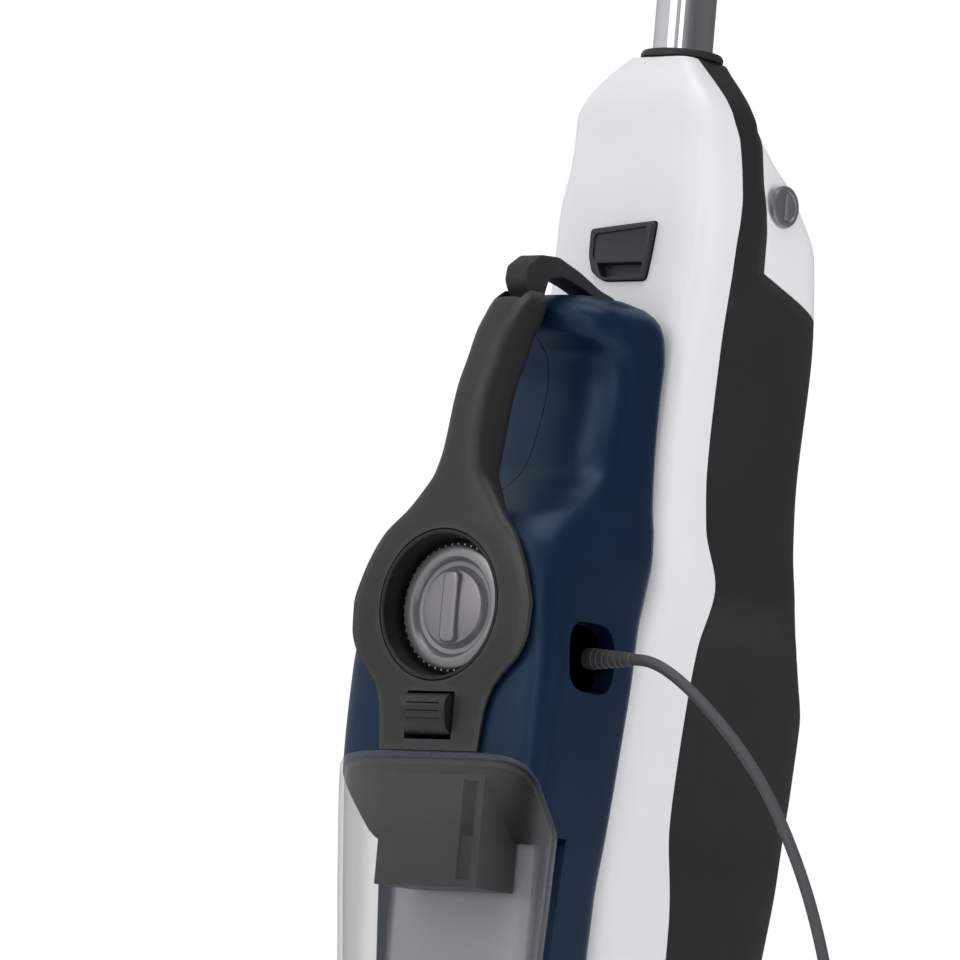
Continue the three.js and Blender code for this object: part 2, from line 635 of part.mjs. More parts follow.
// Charcoal front column: hand grip, dial ring and the tongue that carries the tank release.
const COLUMN = [
  [326, 33, 33, -160.4, -156.6],
  [345, 35, 35, -160.4, -156.2],
  [356, 38, 38, -160.4, -155.8],
  [365, 44, 44, -160.6, -155.4],
  [376, 54.5, 54.5, -160.8, -155],
  [388, 59, 59, -161, -154.4],
  [401, 59.6, 59.6, -161, -153.8],
  [415, 55.6, 55.6, -161, -153.2],
  [428, 49.6, 49.6, -161, -152],
  [439, 42.6, 42.6, -160.8, -150],
  [450, 32, 32, -159, -145],
  [460, 24.4, 24.4, -158, -140],
  [470, 17.6, 17.6, -157.4, -136],
  [484, 14.4, 14.4, -156, -130.5],
  [500, 13.5, 13.5, -154, -127],
  [516, 13.5, 13.5, -150.5, -124],
  [532, 13.5, 13.5, -144.5, -117.5],
  [547, 13.5, 13.5, -139, -112],
  [557, 13.5, 13.5, -133, -106.5],
  [565, 13, 13, -127, -105.4],
  [570, 10, 10, -121, -105.4],
];
const LATCH_PIVOT = [-112, 563];
const latchPinHole = rod("x", 2, [-20, ...LATCH_PIVOT], 40, 14);
const column = moulded(COLUMN, { power: [3, 3], around: 24 })
  .subtract(dialHole)
  .subtract(box([-15.6, 15.6], [-170, -140], [331.6, 356.4]))
  .subtract(box([-8, 8], [-121, -100], [555, 580]))
  .subtract(box([-8, 8], [-125, -120], [565, 580]))
  .subtract(latchPinHole);
add("grip_column", column, finish.grip);
const cup = turned(
  [
    [4.6, 143.2],
    [DIAL_RECESS_R - GAP, 143.2],
    [DIAL_RECESS_R - GAP, 160.6],
    [36.8, 160.6],
    [34.6, 145.4],
    [4.6, 145.4],
    [4.6, 143.2],
  ],
  [0, 0, DIAL_Z],
  { segments: 30, forward: true },
);
add("dial_cup", cup, finish.black);
const knobProfile = [
  [0, 137],
  [4.2, 137],
  [4.2, 146],
  [DIAL_KNOB_R, 146],
  [DIAL_KNOB_R, 148.6],
  [29.4, 150.8],
  [24, 150.4],
  [21, 148.8],
  [12, 150.2],
  [0, 150.8],
];
const knobBar = box([-5.5, 5.5], [-153.4, -148.4], [DIAL_Z - 19, DIAL_Z + 19]);
const knob = turned(knobProfile, [0, 0, DIAL_Z], { segments: 30, forward: true });
add("dial_knob", knob.add(knobBar), finish.silver);
const tabProfile = [
  [-148.6, 334],
  [-160, 334],
  [-165, 338],
  [-167, 350],
  [-164, 355],
  [-148.6, 355],
];
add("tank_release", side(tabProfile, -15, 15), finish.grip);

// Dock latch: a bowed lever on top of the grip whose rear end hooks under the release button.
const latchOuter = [
  [-108, 557],
  [-116, 557],
  [-117.6, 568],
  [-122, 575],
  [-121, 583],
  [-111, 590],
  [-96, 591],
  [-78, 586],
  [-60, 579],
  [-48, 576.6],
  [-48, 573.6],
  [-62, 573.6],
  [-78, 578],
  [-93, 581],
  [-103, 578],
  [-106, 568],
];
const latch = side(latchOuter, -7.4, 7.4).subtract(rod("x", 2.3, [-20, ...LATCH_PIVOT], 40, 14));
add("dock_latch", latch, finish.charcoal);
add("latch_pin", rod("x", 1.8, [-11, ...LATCH_PIVOT], 22, 14), finish.steel);

// Motor, shaft and impeller above the tank.
const MOTOR_Y = -101;
const shaftHole = rod("z", 2.8, [0, MOTOR_Y, 330], 120, 16);
const can = turned([[0, 354], [26, 354], [30, 358], [30, 412], [22, 424], [0, 426]], [0, MOTOR_Y, 0]);
add("suction_motor", can.subtract(shaftHole), finish.steel);
add("motor_mount", ring(30.5, 35, 362, 372, [0, MOTOR_Y, 0]), finish.rubber);
add("motor_shaft", rod("z", 2.5, [0, MOTOR_Y, 336], 96, 16), finish.steel);
const blade = (k) => {
  const turn = (k / 7) * Math.PI * 2;
  const made = new THREE.BoxGeometry(22, 1.4, 8).translate(19, 0, 346).rotateZ(turn).translate(0, MOTOR_Y, 0);
  return solid(made);
};
const hubProfile = [
  [2.9, 340],
  [31, 340],
  [31, 342.4],
  [9, 343],
  [6, 351],
  [2.9, 351],
  [2.9, 340],
];
const hubDisc = turned(hubProfile, [0, MOTOR_Y, 0]);
add("impeller", [0, 1, 2, 3, 4, 5, 6].reduce((made, k) => made.add(blade(k)), hubDisc), finish.silver);

// Dust tank, its filter frame and the pleated filter.
const TANK = [
  [152, 48, 48, -138, TANK_REAR_Y],
  [156, 53, 53, -145, TANK_REAR_Y],
  [168, 57, 57, -149, TANK_REAR_Y],
  [220, 61, 60, -152.5, TANK_REAR_Y],
  [270, 64, 63, -156, TANK_REAR_Y],
  [325, 66.5, 65, -158.5, TANK_REAR_Y],
];
const tankOptions = { power: [5, 5], around: 36 };
const tankProfile = (drop) => [
  [RIM_OUT_Y, rimAt(RIM_OUT_Y) - drop],
  [RIM_OUT_Y, 140],
  [-100, 140],
  [-100, RIM_REAR[1] - drop],
  [RIM_REAR[0], RIM_REAR[1] - drop],
];
const belowRim = (drop) => side(tankProfile(drop), -80, 80);
const TANK_WALL = 2.2;
const tankInner = moulded(levels(TANK, 156, 325).concat([[330, 66.5, 65, -158.5, TANK_REAR_Y]]), {
  ...tankOptions,
  inset: TANK_WALL,
});
add("dust_tank", moulded(TANK, tankOptions).intersect(belowRim(SPLIT)).subtract(tankInner), finish.smoke);
const FILTER_FOOT_Z = 257;
const framePlate = moulded(levels(TANK, 250, 325), { ...tankOptions, inset: TANK_WALL + 0.3 })
  .intersect(belowRim(0.8))
  .subtract(belowRim(3.4));
const frameShaft = box([-34, 34], [-152, -122.4], [FILTER_FOOT_Z, 330]).intersect(belowRim(0.9));
const frameHollow = box([-31.6, 31.6], [-149.6, -124.8], [FILTER_FOOT_Z + 2.4, 340]);
const frameSlot = box([20, 29], [-160, -145], [261, 312]);
const filterFrame = framePlate.add(frameShaft).subtract(frameHollow).subtract(frameSlot);
add("filter_frame", filterFrame, finish.grip);
const pleats = Array.from({ length: 9 }, (_, k) => [-28 + k * 5.5, k % 2 ? -126 : -130]);
const pleated = plan(outlineOf([[-28, -147], [16, -147], ...pleats.reverse()]), FILTER_FOOT_Z + 3, 284);
add("filter_cartridge", pleated, finish.filter);

// ---- mains cord ---------------------------------------------------------------------------------------
const [exitX, exitY, exitZ] = CORD_EXIT;
const clear = ([low, high]) => [low + GAP, high - GAP];
const glandBlock = box([50, 58.4], clear(GLAND_Y), clear(GLAND_Z));
const relief = rod("x", 6.5, [exitX, exitY, exitZ], RELIEF_END_X - exitX, 16, 4.2);
add("cord_gland", glandBlock.add(relief), finish.cable);
const CORD_ROUTE = [
  [RELIEF_END_X + 0.3, -98, 381],
  [89, -97.6, 380.4],
  [99, -96.4, 377],
  [112, -94, 368.8],
  [128, -90, 355],
  [144.5, -84.8, 337],
  [159.5, -79, 315.4],
  [171.8, -73.2, 291],
  [181.8, -67.5, 265],
  [189.8, -62.5, 237],
  [196.6, -58, 205],
  [202.6, -53.5, 168],
  [208, -48.5, 128],
  [212.6, -42.5, 90],
  [216, -34, 55],
  [217.2, -22, 28],
  [218.2, -7, 10.5],
  [218.5, 10, 3.6],
  [218.6, 23, CORD_R + 0.2],
  [218.6, 32.6, CORD_R + 0.2],
];
add("cord_lead", swept(CORD_ROUTE, CORD_R, 56, 4), finish.cable);
const inner = COIL_MEAN_R - COIL_HALF;
const outer = COIL_MEAN_R + COIL_HALF;
const coilProfile = [
  [inner + 4, 0],
  [outer - 4, 0],
  [outer, 4],
  [outer, 22],
  [outer - 4, 26],
  [inner + 4, 26],
  [inner, 22],
  [inner, 4],
  [inner + 4, 0],
];
add("cord_coil", turned(coilProfile, [...COIL_CENTRE, 0], { segments: 28 }), finish.cable);
// Two-pin plug lying beside the coil, its sleeve in line with the last turn.
const plugX = COIL_CENTRE[0] + COIL_MEAN_R + 12.4;
const plugZ = 12.4;
const plugOutline = [
  [plugX - 12, 10],
  [plugX - 18, -8],
  [plugX - 18, -26],
  [plugX + 18, -26],
  [plugX + 18, -8],
  [plugX + 12, 10],
];
const plugSleeve = rod("y", 6.4, [plugX, 0, plugZ], 21.4, 16, 4.4);
add("plug", plan(outlineOf(plugOutline.reverse()), 0.2, 24.2).add(plugSleeve), finish.black);
const pin = (x) => rod("y", 2.4, [x, -45.5, plugZ], 19, 14);
add("plug_pin_left", pin(plugX - 9.5), finish.steel);
add("plug_pin_right", pin(plugX + 9.5), finish.steel);

export default model;
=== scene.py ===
# Steam mop with a docked hand vacuum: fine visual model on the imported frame. Shapes are given in millimetres.
import json
import math

import bmesh
import bpy
import numpy as np
from mathutils import Matrix, Vector

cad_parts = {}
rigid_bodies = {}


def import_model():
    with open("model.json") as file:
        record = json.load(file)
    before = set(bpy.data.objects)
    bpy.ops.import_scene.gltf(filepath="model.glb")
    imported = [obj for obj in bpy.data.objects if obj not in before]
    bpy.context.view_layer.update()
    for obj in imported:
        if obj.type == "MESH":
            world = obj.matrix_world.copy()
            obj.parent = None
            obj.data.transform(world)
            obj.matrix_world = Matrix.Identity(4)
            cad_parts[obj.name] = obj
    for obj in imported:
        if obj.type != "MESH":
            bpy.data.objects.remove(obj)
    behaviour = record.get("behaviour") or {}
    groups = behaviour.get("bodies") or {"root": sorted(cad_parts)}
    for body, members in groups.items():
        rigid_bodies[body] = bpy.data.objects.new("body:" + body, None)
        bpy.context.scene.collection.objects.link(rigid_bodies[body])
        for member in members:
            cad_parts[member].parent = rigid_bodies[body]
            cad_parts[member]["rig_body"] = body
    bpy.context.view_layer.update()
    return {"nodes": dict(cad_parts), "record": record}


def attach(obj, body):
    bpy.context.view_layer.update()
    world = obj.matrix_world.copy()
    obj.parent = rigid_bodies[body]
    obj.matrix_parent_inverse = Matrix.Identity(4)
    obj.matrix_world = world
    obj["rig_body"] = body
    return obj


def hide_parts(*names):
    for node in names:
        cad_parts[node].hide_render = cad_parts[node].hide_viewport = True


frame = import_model()
MM = 0.001
scene = bpy.context.scene

# ---- camera ----------------------------------------------------------
AZIMUTH, ELEVATION, LEAN = math.radians(40), math.radians(-6), math.radians(5)
TARGET = Vector((-0.0016, -0.1343, 0.4688))
DISTANCE = 4.0
FRAME_WIDTH = 0.495
SENSOR = 36
back = Vector((
    math.sin(AZIMUTH) * math.cos(ELEVATION),
    -math.cos(AZIMUTH) * math.cos(ELEVATION),
    math.sin(ELEVATION),
))
level = Vector((math.cos(AZIMUTH), math.sin(AZIMUTH), 0))
upward = back.cross(level)
right_axis = level * math.cos(LEAN) + upward * math.sin(LEAN)
up_axis = upward * math.cos(LEAN) - level * math.sin(LEAN)
camera = bpy.data.objects.new("camera", bpy.data.cameras.new("camera"))
scene.collection.objects.link(camera)
camera.matrix_world = Matrix.Translation(TARGET + back * DISTANCE) @ Matrix(
    (right_axis, up_axis, back)
).transposed().to_4x4()
camera.data.sensor_width = SENSOR
camera.data.lens = SENSOR * DISTANCE / FRAME_WIDTH
camera.data.clip_end = 100
scene.camera = camera
scene.view_settings.view_transform = "Standard"


# ---- materials -------------------------------------------------------
def linear(rgb):
    return tuple(c / 12.92 if c <= 0.04045 else ((c + 0.055) / 1.055) ** 2.4 for c in (v / 255 for v in rgb))


def surface(name, rgb, rough, *, spread=0.12, patch=25, grain=900, bump=0.08, depth=0.15, stretch=(1, 1, 1),
            wear=0.0, voronoi=False, **values):
    """A procedural finish: soft colour patches, uneven roughness, a fine grain and worn edges."""
    mat = bpy.data.materials.new(name)
    mat.use_nodes = True
    nodes, links = mat.node_tree.nodes, mat.node_tree.links
    shader = nodes["Principled BSDF"]
    for key, value in values.items():
        shader.inputs[key.replace("_", " ")].default_value = value
    place = nodes.new("ShaderNodeTexCoord")
    mapping = nodes.new("ShaderNodeMapping")
    mapping.inputs["Scale"].default_value = stretch
    links.new(place.outputs["Object"], mapping.inputs["Vector"])

    def noise(scale, detail):
        made = nodes.new("ShaderNodeTexNoise")
        made.inputs["Scale"].default_value = scale
        made.inputs["Detail"].default_value = detail
        links.new(mapping.outputs["Vector"], made.inputs["Vector"])
        return made.outputs["Fac"]

    colour = nodes.new("ShaderNodeValToRGB")
    base = linear(rgb)
    colour.color_ramp.elements[0].position = 0.3
    colour.color_ramp.elements[1].position = 0.7
    colour.color_ramp.elements[0].color = (*[c * (1 - spread) for c in base], 1)
    colour.color_ramp.elements[1].color = (*[min(1, c * (1 + spread)) for c in base], 1)
    links.new(noise(patch, 3), colour.inputs["Fac"])
    tint = colour.outputs["Color"]
    if wear:
        edge = nodes.new("ShaderNodeNewGeometry")
        band = nodes.new("ShaderNodeMapRange")
        band.inputs["From Min"].default_value = 0.53
        band.inputs["From Max"].default_value = 0.62
        band.inputs["To Max"].default_value = wear
        links.new(edge.outputs["Pointiness"], band.inputs["Value"])
        worn = nodes.new("ShaderNodeMix")
        worn.data_type = "RGBA"
        links.new(band.outputs["Result"], worn.inputs["Factor"])
        links.new(tint, worn.inputs["A"])
        worn.inputs["B"].default_value = (*[min(1, c * 1.6 + 0.03) for c in base], 1)
        tint = worn.outputs["Result"]
    links.new(tint, shader.inputs["Base Color"])
    rub = nodes.new("ShaderNodeMapRange")
    rub.inputs["To Min"].default_value = rough * 0.85
    rub.inputs["To Max"].default_value = min(1, rough * 1.2)
    links.new(noise(patch * 3, 5), rub.inputs["Value"])
    links.new(rub.outputs["Result"], shader.inputs["Roughness"])
    relief = nodes.new("ShaderNodeBump")
    relief.inputs["Strength"].default_value = bump
    relief.inputs["Distance"].default_value = depth * MM
    if voronoi:
        cells = nodes.new("ShaderNodeTexVoronoi")
        cells.inputs["Scale"].default_value = grain
        links.new(mapping.outputs["Vector"], cells.inputs["Vector"])
        links.new(cells.outputs["Distance"], relief.inputs["Height"])
    else:
        links.new(noise(grain, 2), relief.inputs["Height"])
    links.new(relief.outputs["Normal"], shader.inputs["Normal"])
    return mat


LOOKS = {
    "white_shell": surface("white_shell", (235, 236, 239), 0.34, spread=0.012, grain=700, bump=0.05,
                           Coat_Weight=0.15, Coat_Roughness=0.2),
    "charcoal_shell": surface("charcoal_shell", (34, 33, 35), 0.5, spread=0.08, grain=1500, bump=0.25,
                              depth=0.12, wear=0.25, voronoi=True, Specular_IOR_Level=0.4),
    "grip_grey": surface("grip_grey", (32, 31, 32), 0.42, spread=0.07, grain=1300, bump=0.3, depth=0.12,
                         wear=0.3, voronoi=True),
    "navy_gloss": surface("navy_gloss", (15, 35, 62), 0.36, spread=0.06, grain=350, bump=0.03, Metallic=0.25,
                          Specular_IOR_Level=0.45, Specular_Tint=(0.62, 0.8, 1.0, 1.0)),
    "slate": surface("slate", (32, 40, 50), 0.42, spread=0.06, grain=1200, bump=0.15, wear=0.25),
    "silver_plastic": surface("silver_plastic", (140, 138, 141), 0.3, spread=0.04, grain=1600, bump=0.06,
                              Metallic=0.7, wear=0.3),
    "chrome": surface("chrome", (206, 206, 210), 0.09, spread=0.02, grain=400, bump=0.02,
                      stretch=(1, 1, 0.02), Metallic=1.0),
    "steel": surface("steel", (156, 158, 160), 0.3, spread=0.05, grain=900, bump=0.1, stretch=(1, 1, 12),
                     Metallic=1.0),
    "smoke_clear": surface("smoke_clear", (204, 206, 212), 0.08, spread=0.01, grain=60, bump=0.02,
                           Specular_IOR_Level=1.0, Coat_Weight=0.6, Coat_Roughness=0.04),
    "frosted_clear": surface("frosted_clear", (242, 243, 245), 0.4, spread=0.012, grain=1400, bump=0.12,
                             Transmission_Weight=0.12, IOR=1.4),
    "black_plastic": surface("black_plastic", (9, 9, 11), 0.5, spread=0.1, grain=1100, bump=0.15, wear=0.2),
    "rubber": surface("rubber", (34, 34, 35), 0.75, spread=0.1, grain=1200, bump=0.2),
    "cable": surface("cable", (74, 75, 78), 0.5, spread=0.06, grain=900, bump=0.12),
    "pad": surface("pad", (224, 228, 231), 0.95, spread=0.05, patch=120, grain=650, bump=0.9, depth=0.9,
                   voronoi=True, Sheen_Weight=0.3),
    "board": surface("board", (30, 92, 62), 0.5, spread=0.2, patch=160, grain=500, bump=0.3),
    "filter": surface("filter", (150, 147, 140), 0.9, spread=0.06, grain=900, bump=0.5, depth=0.3),
}


def see_through(mat, face_on, edge_on, frosted_y, half_width, fade=6):
    """Clear plastic: thin seen face on, denser at a slant, frosted behind a depth within a half width; its
    colour is painted near black face on and light at a slant, a painted sheen, while the frosted rear keeps the
    plastic's own light colour.
    """
    nodes, links = mat.node_tree.nodes, mat.node_tree.links
    slant = nodes.new("ShaderNodeLayerWeight")
    slant.inputs["Blend"].default_value = 0.3
    density = nodes.new("ShaderNodeMapRange")
    density.inputs["To Min"].default_value = face_on
    density.inputs["To Max"].default_value = edge_on
    links.new(slant.outputs["Facing"], density.inputs["Value"])
    place = nodes.new("ShaderNodeTexCoord")
    split = nodes.new("ShaderNodeSeparateXYZ")
    links.new(place.outputs["Object"], split.inputs["Vector"])
    frost = nodes.new("ShaderNodeMapRange")
    frost.inputs["From Min"].default_value = (frosted_y - fade) * MM
    frost.inputs["From Max"].default_value = frosted_y * MM
    frost.inputs["To Max"].default_value = 0.85
    links.new(split.outputs["Y"], frost.inputs["Value"])
    across = nodes.new("ShaderNodeMath")
    across.operation = "ABSOLUTE"
    links.new(split.outputs["X"], across.inputs[0])
    within = nodes.new("ShaderNodeMapRange")
    within.inputs["From Min"].default_value = (half_width - fade) * MM
    within.inputs["From Max"].default_value = half_width * MM
    within.inputs["To Min"].default_value = 1
    within.inputs["To Max"].default_value = 0.1
    links.new(across.outputs["Value"], within.inputs["Value"])
    frosted = nodes.new("ShaderNodeMath")
    frosted.operation = "MULTIPLY"
    links.new(frost.outputs["Result"], frosted.inputs[0])
    links.new(within.outputs["Result"], frosted.inputs[1])
    most = nodes.new("ShaderNodeMath")
    most.operation = "MAXIMUM"
    links.new(density.outputs["Result"], most.inputs[0])
    links.new(frosted.outputs["Value"], most.inputs[1])
    shader = nodes["Principled BSDF"]
    links.new(most.outputs["Value"], shader.inputs["Alpha"])
    # Painted sheen: the base colour runs from near black face on to the plastic's colour at a slant; the
    # frosted rear keeps the plastic's colour.
    sheen_and_frost = nodes.new("ShaderNodeMath")
    sheen_and_frost.operation = "MAXIMUM"
    links.new(slant.outputs["Facing"], sheen_and_frost.inputs[0])
    links.new(frosted.outputs["Value"], sheen_and_frost.inputs[1])
    blend = nodes.new("ShaderNodeMix")
    blend.data_type = "RGBA"
    blend.inputs["A"].default_value = (0.02, 0.02, 0.022, 1)
    links.new(sheen_and_frost.outputs["Value"], blend.inputs["Factor"])
    links.new(shader.inputs["Base Color"].links[0].from_socket, blend.inputs["B"])
    links.new(blend.outputs["Result"], shader.inputs["Base Color"])


see_through(LOOKS["smoke_clear"], 0.06, 0.75, -121, 50)
for entry in frame["record"]["subparts"]:
    node = frame["nodes"][entry["node"]]
    node.data.materials.clear()
    node.data.materials.append(LOOKS[entry["material_slot"]])
SLOT_OF = {entry["node"]: entry["material_slot"] for entry in frame["record"]["subparts"]}


# ---- meshes ----------------------------------------------------------
def new_object(name, verts, faces):
    mesh = bpy.data.meshes.new(name)
    mesh.from_pydata([tuple(float(c) * MM for c in v) for v in verts], [], faces)
    made = bpy.data.objects.new(name, mesh)
    scene.collection.objects.link(made)
    bm = bmesh.new()
    bm.from_mesh(mesh)
    bmesh.ops.remove_doubles(bm, verts=bm.verts, dist=1e-6)
    bmesh.ops.recalc_face_normals(bm, faces=bm.faces)
    bm.to_mesh(mesh)
    bm.free()
    return made


def modifier(obj, kind, **values):
    made = obj.modifiers.new(kind.lower(), kind)
    for key, value in values.items():
        setattr(made, key, value)
    return made


def settle(obj, sharp=32):
    """Applies the modifiers, shades smooth and keeps edges sharper than the angle crisp."""
    evaluated = obj.evaluated_get(bpy.context.evaluated_depsgraph_get())
    mesh = bpy.data.meshes.new_from_object(evaluated)
    obj.modifiers.clear()
    old, obj.data = obj.data, mesh
    bpy.data.meshes.remove(old)
    bm = bmesh.new()
    bm.from_mesh(mesh)
    for face in bm.faces:
        face.smooth = True
    for edge in bm.edges:
        edge.smooth = not (len(edge.link_faces) == 2 and edge.calc_face_angle(0) > math.radians(sharp))
    bm.to_mesh(mesh)
    bm.free()
    return obj


def soften(obj, width, segments=3, angle=34):
    """Rounds every edge sharper than the angle to a width in millimetres."""
    limit = math.radians(angle)
    modifier(obj, "BEVEL", width=width * MM, segments=segments, limit_method="ANGLE", angle_limit=limit)
    return settle(obj)


def joined(*objs):
    """One mesh from several."""
    first = objs[0]
    bm = bmesh.new()
    for o in objs:
        bm.from_mesh(o.data)
    bm.to_mesh(first.data)
    bm.free()
    for o in objs[1:]:
        bpy.data.objects.remove(o)
    return first


def combine(obj, operation, *tools):
    for tool in tools:
        modifier(obj, "BOOLEAN", operation=operation, object=tool, solver="EXACT")
    settle(obj)
    for tool in tools:
        bpy.data.objects.remove(tool)
    return obj


def cut(obj, *tools):
    return combine(obj, "DIFFERENCE", *tools)


def piece(obj, *nodes):
    """Puts a finished piece on the body of the CAD nodes it stands for, in their material."""
    body = frame["nodes"][nodes[0]]["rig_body"]
    slot = SLOT_OF[nodes[0]]
    obj.data.materials.clear()
    obj.data.materials.append(LOOKS[slot])
    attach(obj, body)
    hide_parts(*nodes)
    return obj


def filleted(points, radius, steps=4):
    """An outline with its corners rounded."""
    made = []
    count = len(points)
    for i in range(count):
        a, b, c = (np.array(points[(i + k) % count], float) for k in (-1, 0, 1))
        reach = min(radius, 0.45 * np.linalg.norm(a - b), 0.45 * np.linalg.norm(c - b))
        start = b + (a - b) / np.linalg.norm(a - b) * reach
        end = b + (c - b) / np.linalg.norm(c - b) * reach
        for t in np.linspace(0, 1, steps + 1):
            made.append((1 - t) ** 2 * start + 2 * t * (1 - t) * b + t * t * end)
    return made


def prism(name, points, low, high, axis, radius=0):
    """An outline pushed along an axis: (y, z) along x, (x, z) along y, (x, y) along z."""
    outline = filleted(points, radius) if radius else [np.array(p, float) for p in points]
    place = {
        "x": lambda p, d: (d, p[0], p[1]),
        "y": lambda p, d: (p[0], d, p[1]),
        "z": lambda p, d: (p[0], p[1], d),
    }[axis]
    n = len(outline)
    verts = [place(p, d) for d in (low, high) for p in outline]
    faces = [tuple(range(n))[::-1], tuple(range(n, 2 * n))]
    faces += [(i, (i + 1) % n, n + (i + 1) % n, n + i) for i in range(n)]
    return new_object(name, verts, faces)


def box(name, x, y, z):
    return prism(name, [(x[0], y[0]), (x[1], y[0]), (x[1], y[1]), (x[0], y[1])], *z, "z")


def lathe(name, profile, centre=(0, 0, 0), axis="z", segments=96):
    """A turned piece from (radius, height) points; its axis points along +Z, +X or -Y."""
    place = {
        "z": lambda r, h, c, s: (r * c, r * s, h),
        "x": lambda r, h, c, s: (h, r * c, r * s),
        "y": lambda r, h, c, s: (r * c, -h, r * s),
    }[axis]
    turns = np.linspace(0, 2 * math.pi, segments, endpoint=False)
    verts = [np.array(place(r, h, math.cos(t), math.sin(t))) + centre for r, h in profile for t in turns]
    faces = []
    for k in range(len(profile) - 1):
        for i in range(segments):
            j = (i + 1) % segments
            faces.append((k * segments + i, k * segments + j, (k + 1) * segments + j, (k + 1) * segments + i))
    made = new_object(name, verts, faces)
    bm = bmesh.new()
    bm.from_mesh(made.data)
    bmesh.ops.holes_fill(bm, edges=[e for e in bm.edges if e.is_boundary], sides=0)
    bmesh.ops.recalc_face_normals(bm, faces=bm.faces)
    bm.to_mesh(made.data)
    bm.free()
    return made


def rod(name, radius, start, end, axis, segments=64):
    """A plain cylinder from a start point to an end coordinate along its axis."""
    centre = list(start)
    index = "xyz".index(axis)
    low, high = (start[index], end) if axis != "y" else (-start[1], -end)
    centre[index] = 0
    return lathe(name, [(radius, low), (radius, high)], centre, axis, segments)


def smooth_rows(keys, heights):
    """Reads a table of sections at any heights, by a monotone cubic through each column."""
    k = np.array(keys, float)
    x, h = k[:, 0], np.diff(k[:, 0])
    slope = np.diff(k, axis=0) / h[:, None]
    tangent = np.zeros_like(k)
    w1, w2 = (2 * h[1:] + h[:-1])[:, None], (h[1:] + 2 * h[:-1])[:, None]
    with np.errstate(divide="ignore", invalid="ignore"):
        mean = (w1 + w2) / (w1 / slope[:-1] + w2 / slope[1:])
    tangent[1:-1] = np.where(slope[:-1] * slope[1:] > 0, mean, 0)
    tangent[0], tangent[-1] = slope[0], slope[-1]
    z = np.atleast_1d(np.array(heights, float))
    i = np.clip(np.searchsorted(x, z, side="right") - 1, 0, len(h) - 1)
    t = ((z - x[i]) / h[i])[:, None]
    step = h[i][:, None]
    return (
        (2 * t**3 - 3 * t**2 + 1) * k[i]
        + (t**3 - 2 * t**2 + t) * step * tangent[i]
        + (3 * t**2 - 2 * t**3) * k[i + 1]
        + (t**3 - t**2) * step * tangent[i + 1]
    )


def half_section(row, power, count=160):
    """The right half of a level section, (x, y) from the front centre to the rear centre."""
    _, wide_front, wide_rear, front, rear = row[:5]
    turn = np.linspace(-math.pi / 2, math.pi / 2, count)
    square = np.where(turn < 0, row[5] if len(row) > 5 else power[0], power[1])
    rounded = lambda v: np.sign(v) * np.abs(v) ** (2 / square)
    back_share = rounded(np.sin(turn))
    wide = wide_front + (wide_rear - wide_front) * (back_share + 1) / 2
    x = wide * np.abs(rounded(np.cos(turn)))
    return np.stack([x, (front + rear) / 2 + (rear - front) / 2 * back_share], 1)


def resampled(line, count):
    """Points evenly along a polyline."""
    run = np.concatenate([[0], np.cumsum(np.linalg.norm(np.diff(line, axis=0), axis=1))])
    s = np.linspace(0, run[-1], count)
    return np.stack([np.interp(s, run, line[:, k]) for k in range(line.shape[1])], 1)


def between(line, low, high):
    """The part of a half section with y from low to high."""
    x_at = lambda y: np.interp(y, line[:, 1], line[:, 0])
    inside = line[(line[:, 1] > low) & (line[:, 1] < high)]
    return np.vstack([[x_at(low), low], inside, [x_at(high), high]])


def levels_of(keys, step):
    low, high = keys[0][0], keys[-1][0]
    return np.linspace(low, high, int((high - low) / step) + 1)


def loft(name, keys, power, step=4, half=36, inset=0, heights=None):
    """A closed form through level sections, drawn in on every side by the inset."""
    rows = smooth_rows(keys, levels_of(keys, step) if heights is None else heights)
    verts, n = [], 2 * half - 2
    for row in rows:
        row[1:5] += np.array([-inset, -inset, inset, -inset])
        right = resampled(half_section(row, power), half)
        ring = np.vstack([right, right[-2:0:-1] * (-1, 1)])
        verts += [(x, y, row[0]) for x, y in ring]
    faces = []
    for k in range(len(rows) - 1):
        for i in range(n):
            j = (i + 1) % n
            faces.append((k * n + i, k * n + j, (k + 1) * n + j, (k + 1) * n + i))
    last = (len(rows) - 1) * n
    faces += [tuple(range(n))[::-1], tuple(range(last, last + n))]
    return new_object(name, verts, faces)


# ---- mains cord ------------------------------------------------------
def catmull(points, per_span):
    """A centripetal Catmull-Rom line through the points."""
    p = np.array(points, float)
    p = np.vstack([2 * p[0] - p[1], p, 2 * p[-1] - p[-2]])
    made = []
    for i in range(1, len(p) - 2):
        gaps = np.linalg.norm(np.diff(p[i - 1:i + 3], axis=0), axis=1) ** 0.5
        knots = np.concatenate([[0], np.cumsum(gaps)])
        for t in np.linspace(knots[1], knots[2], per_span, endpoint=False):
            rows = list(p[i - 1:i + 3])
            for depth in (1, 2, 3):
                rows = [
                    ((knots[j + depth] - t) * rows[j] + (t - knots[j]) * rows[j + 1])
                    / (knots[j + depth] - knots[j])
                    for j in range(4 - depth)
                ]
            made.append(rows[0])
    return np.vstack([made, p[-2]])


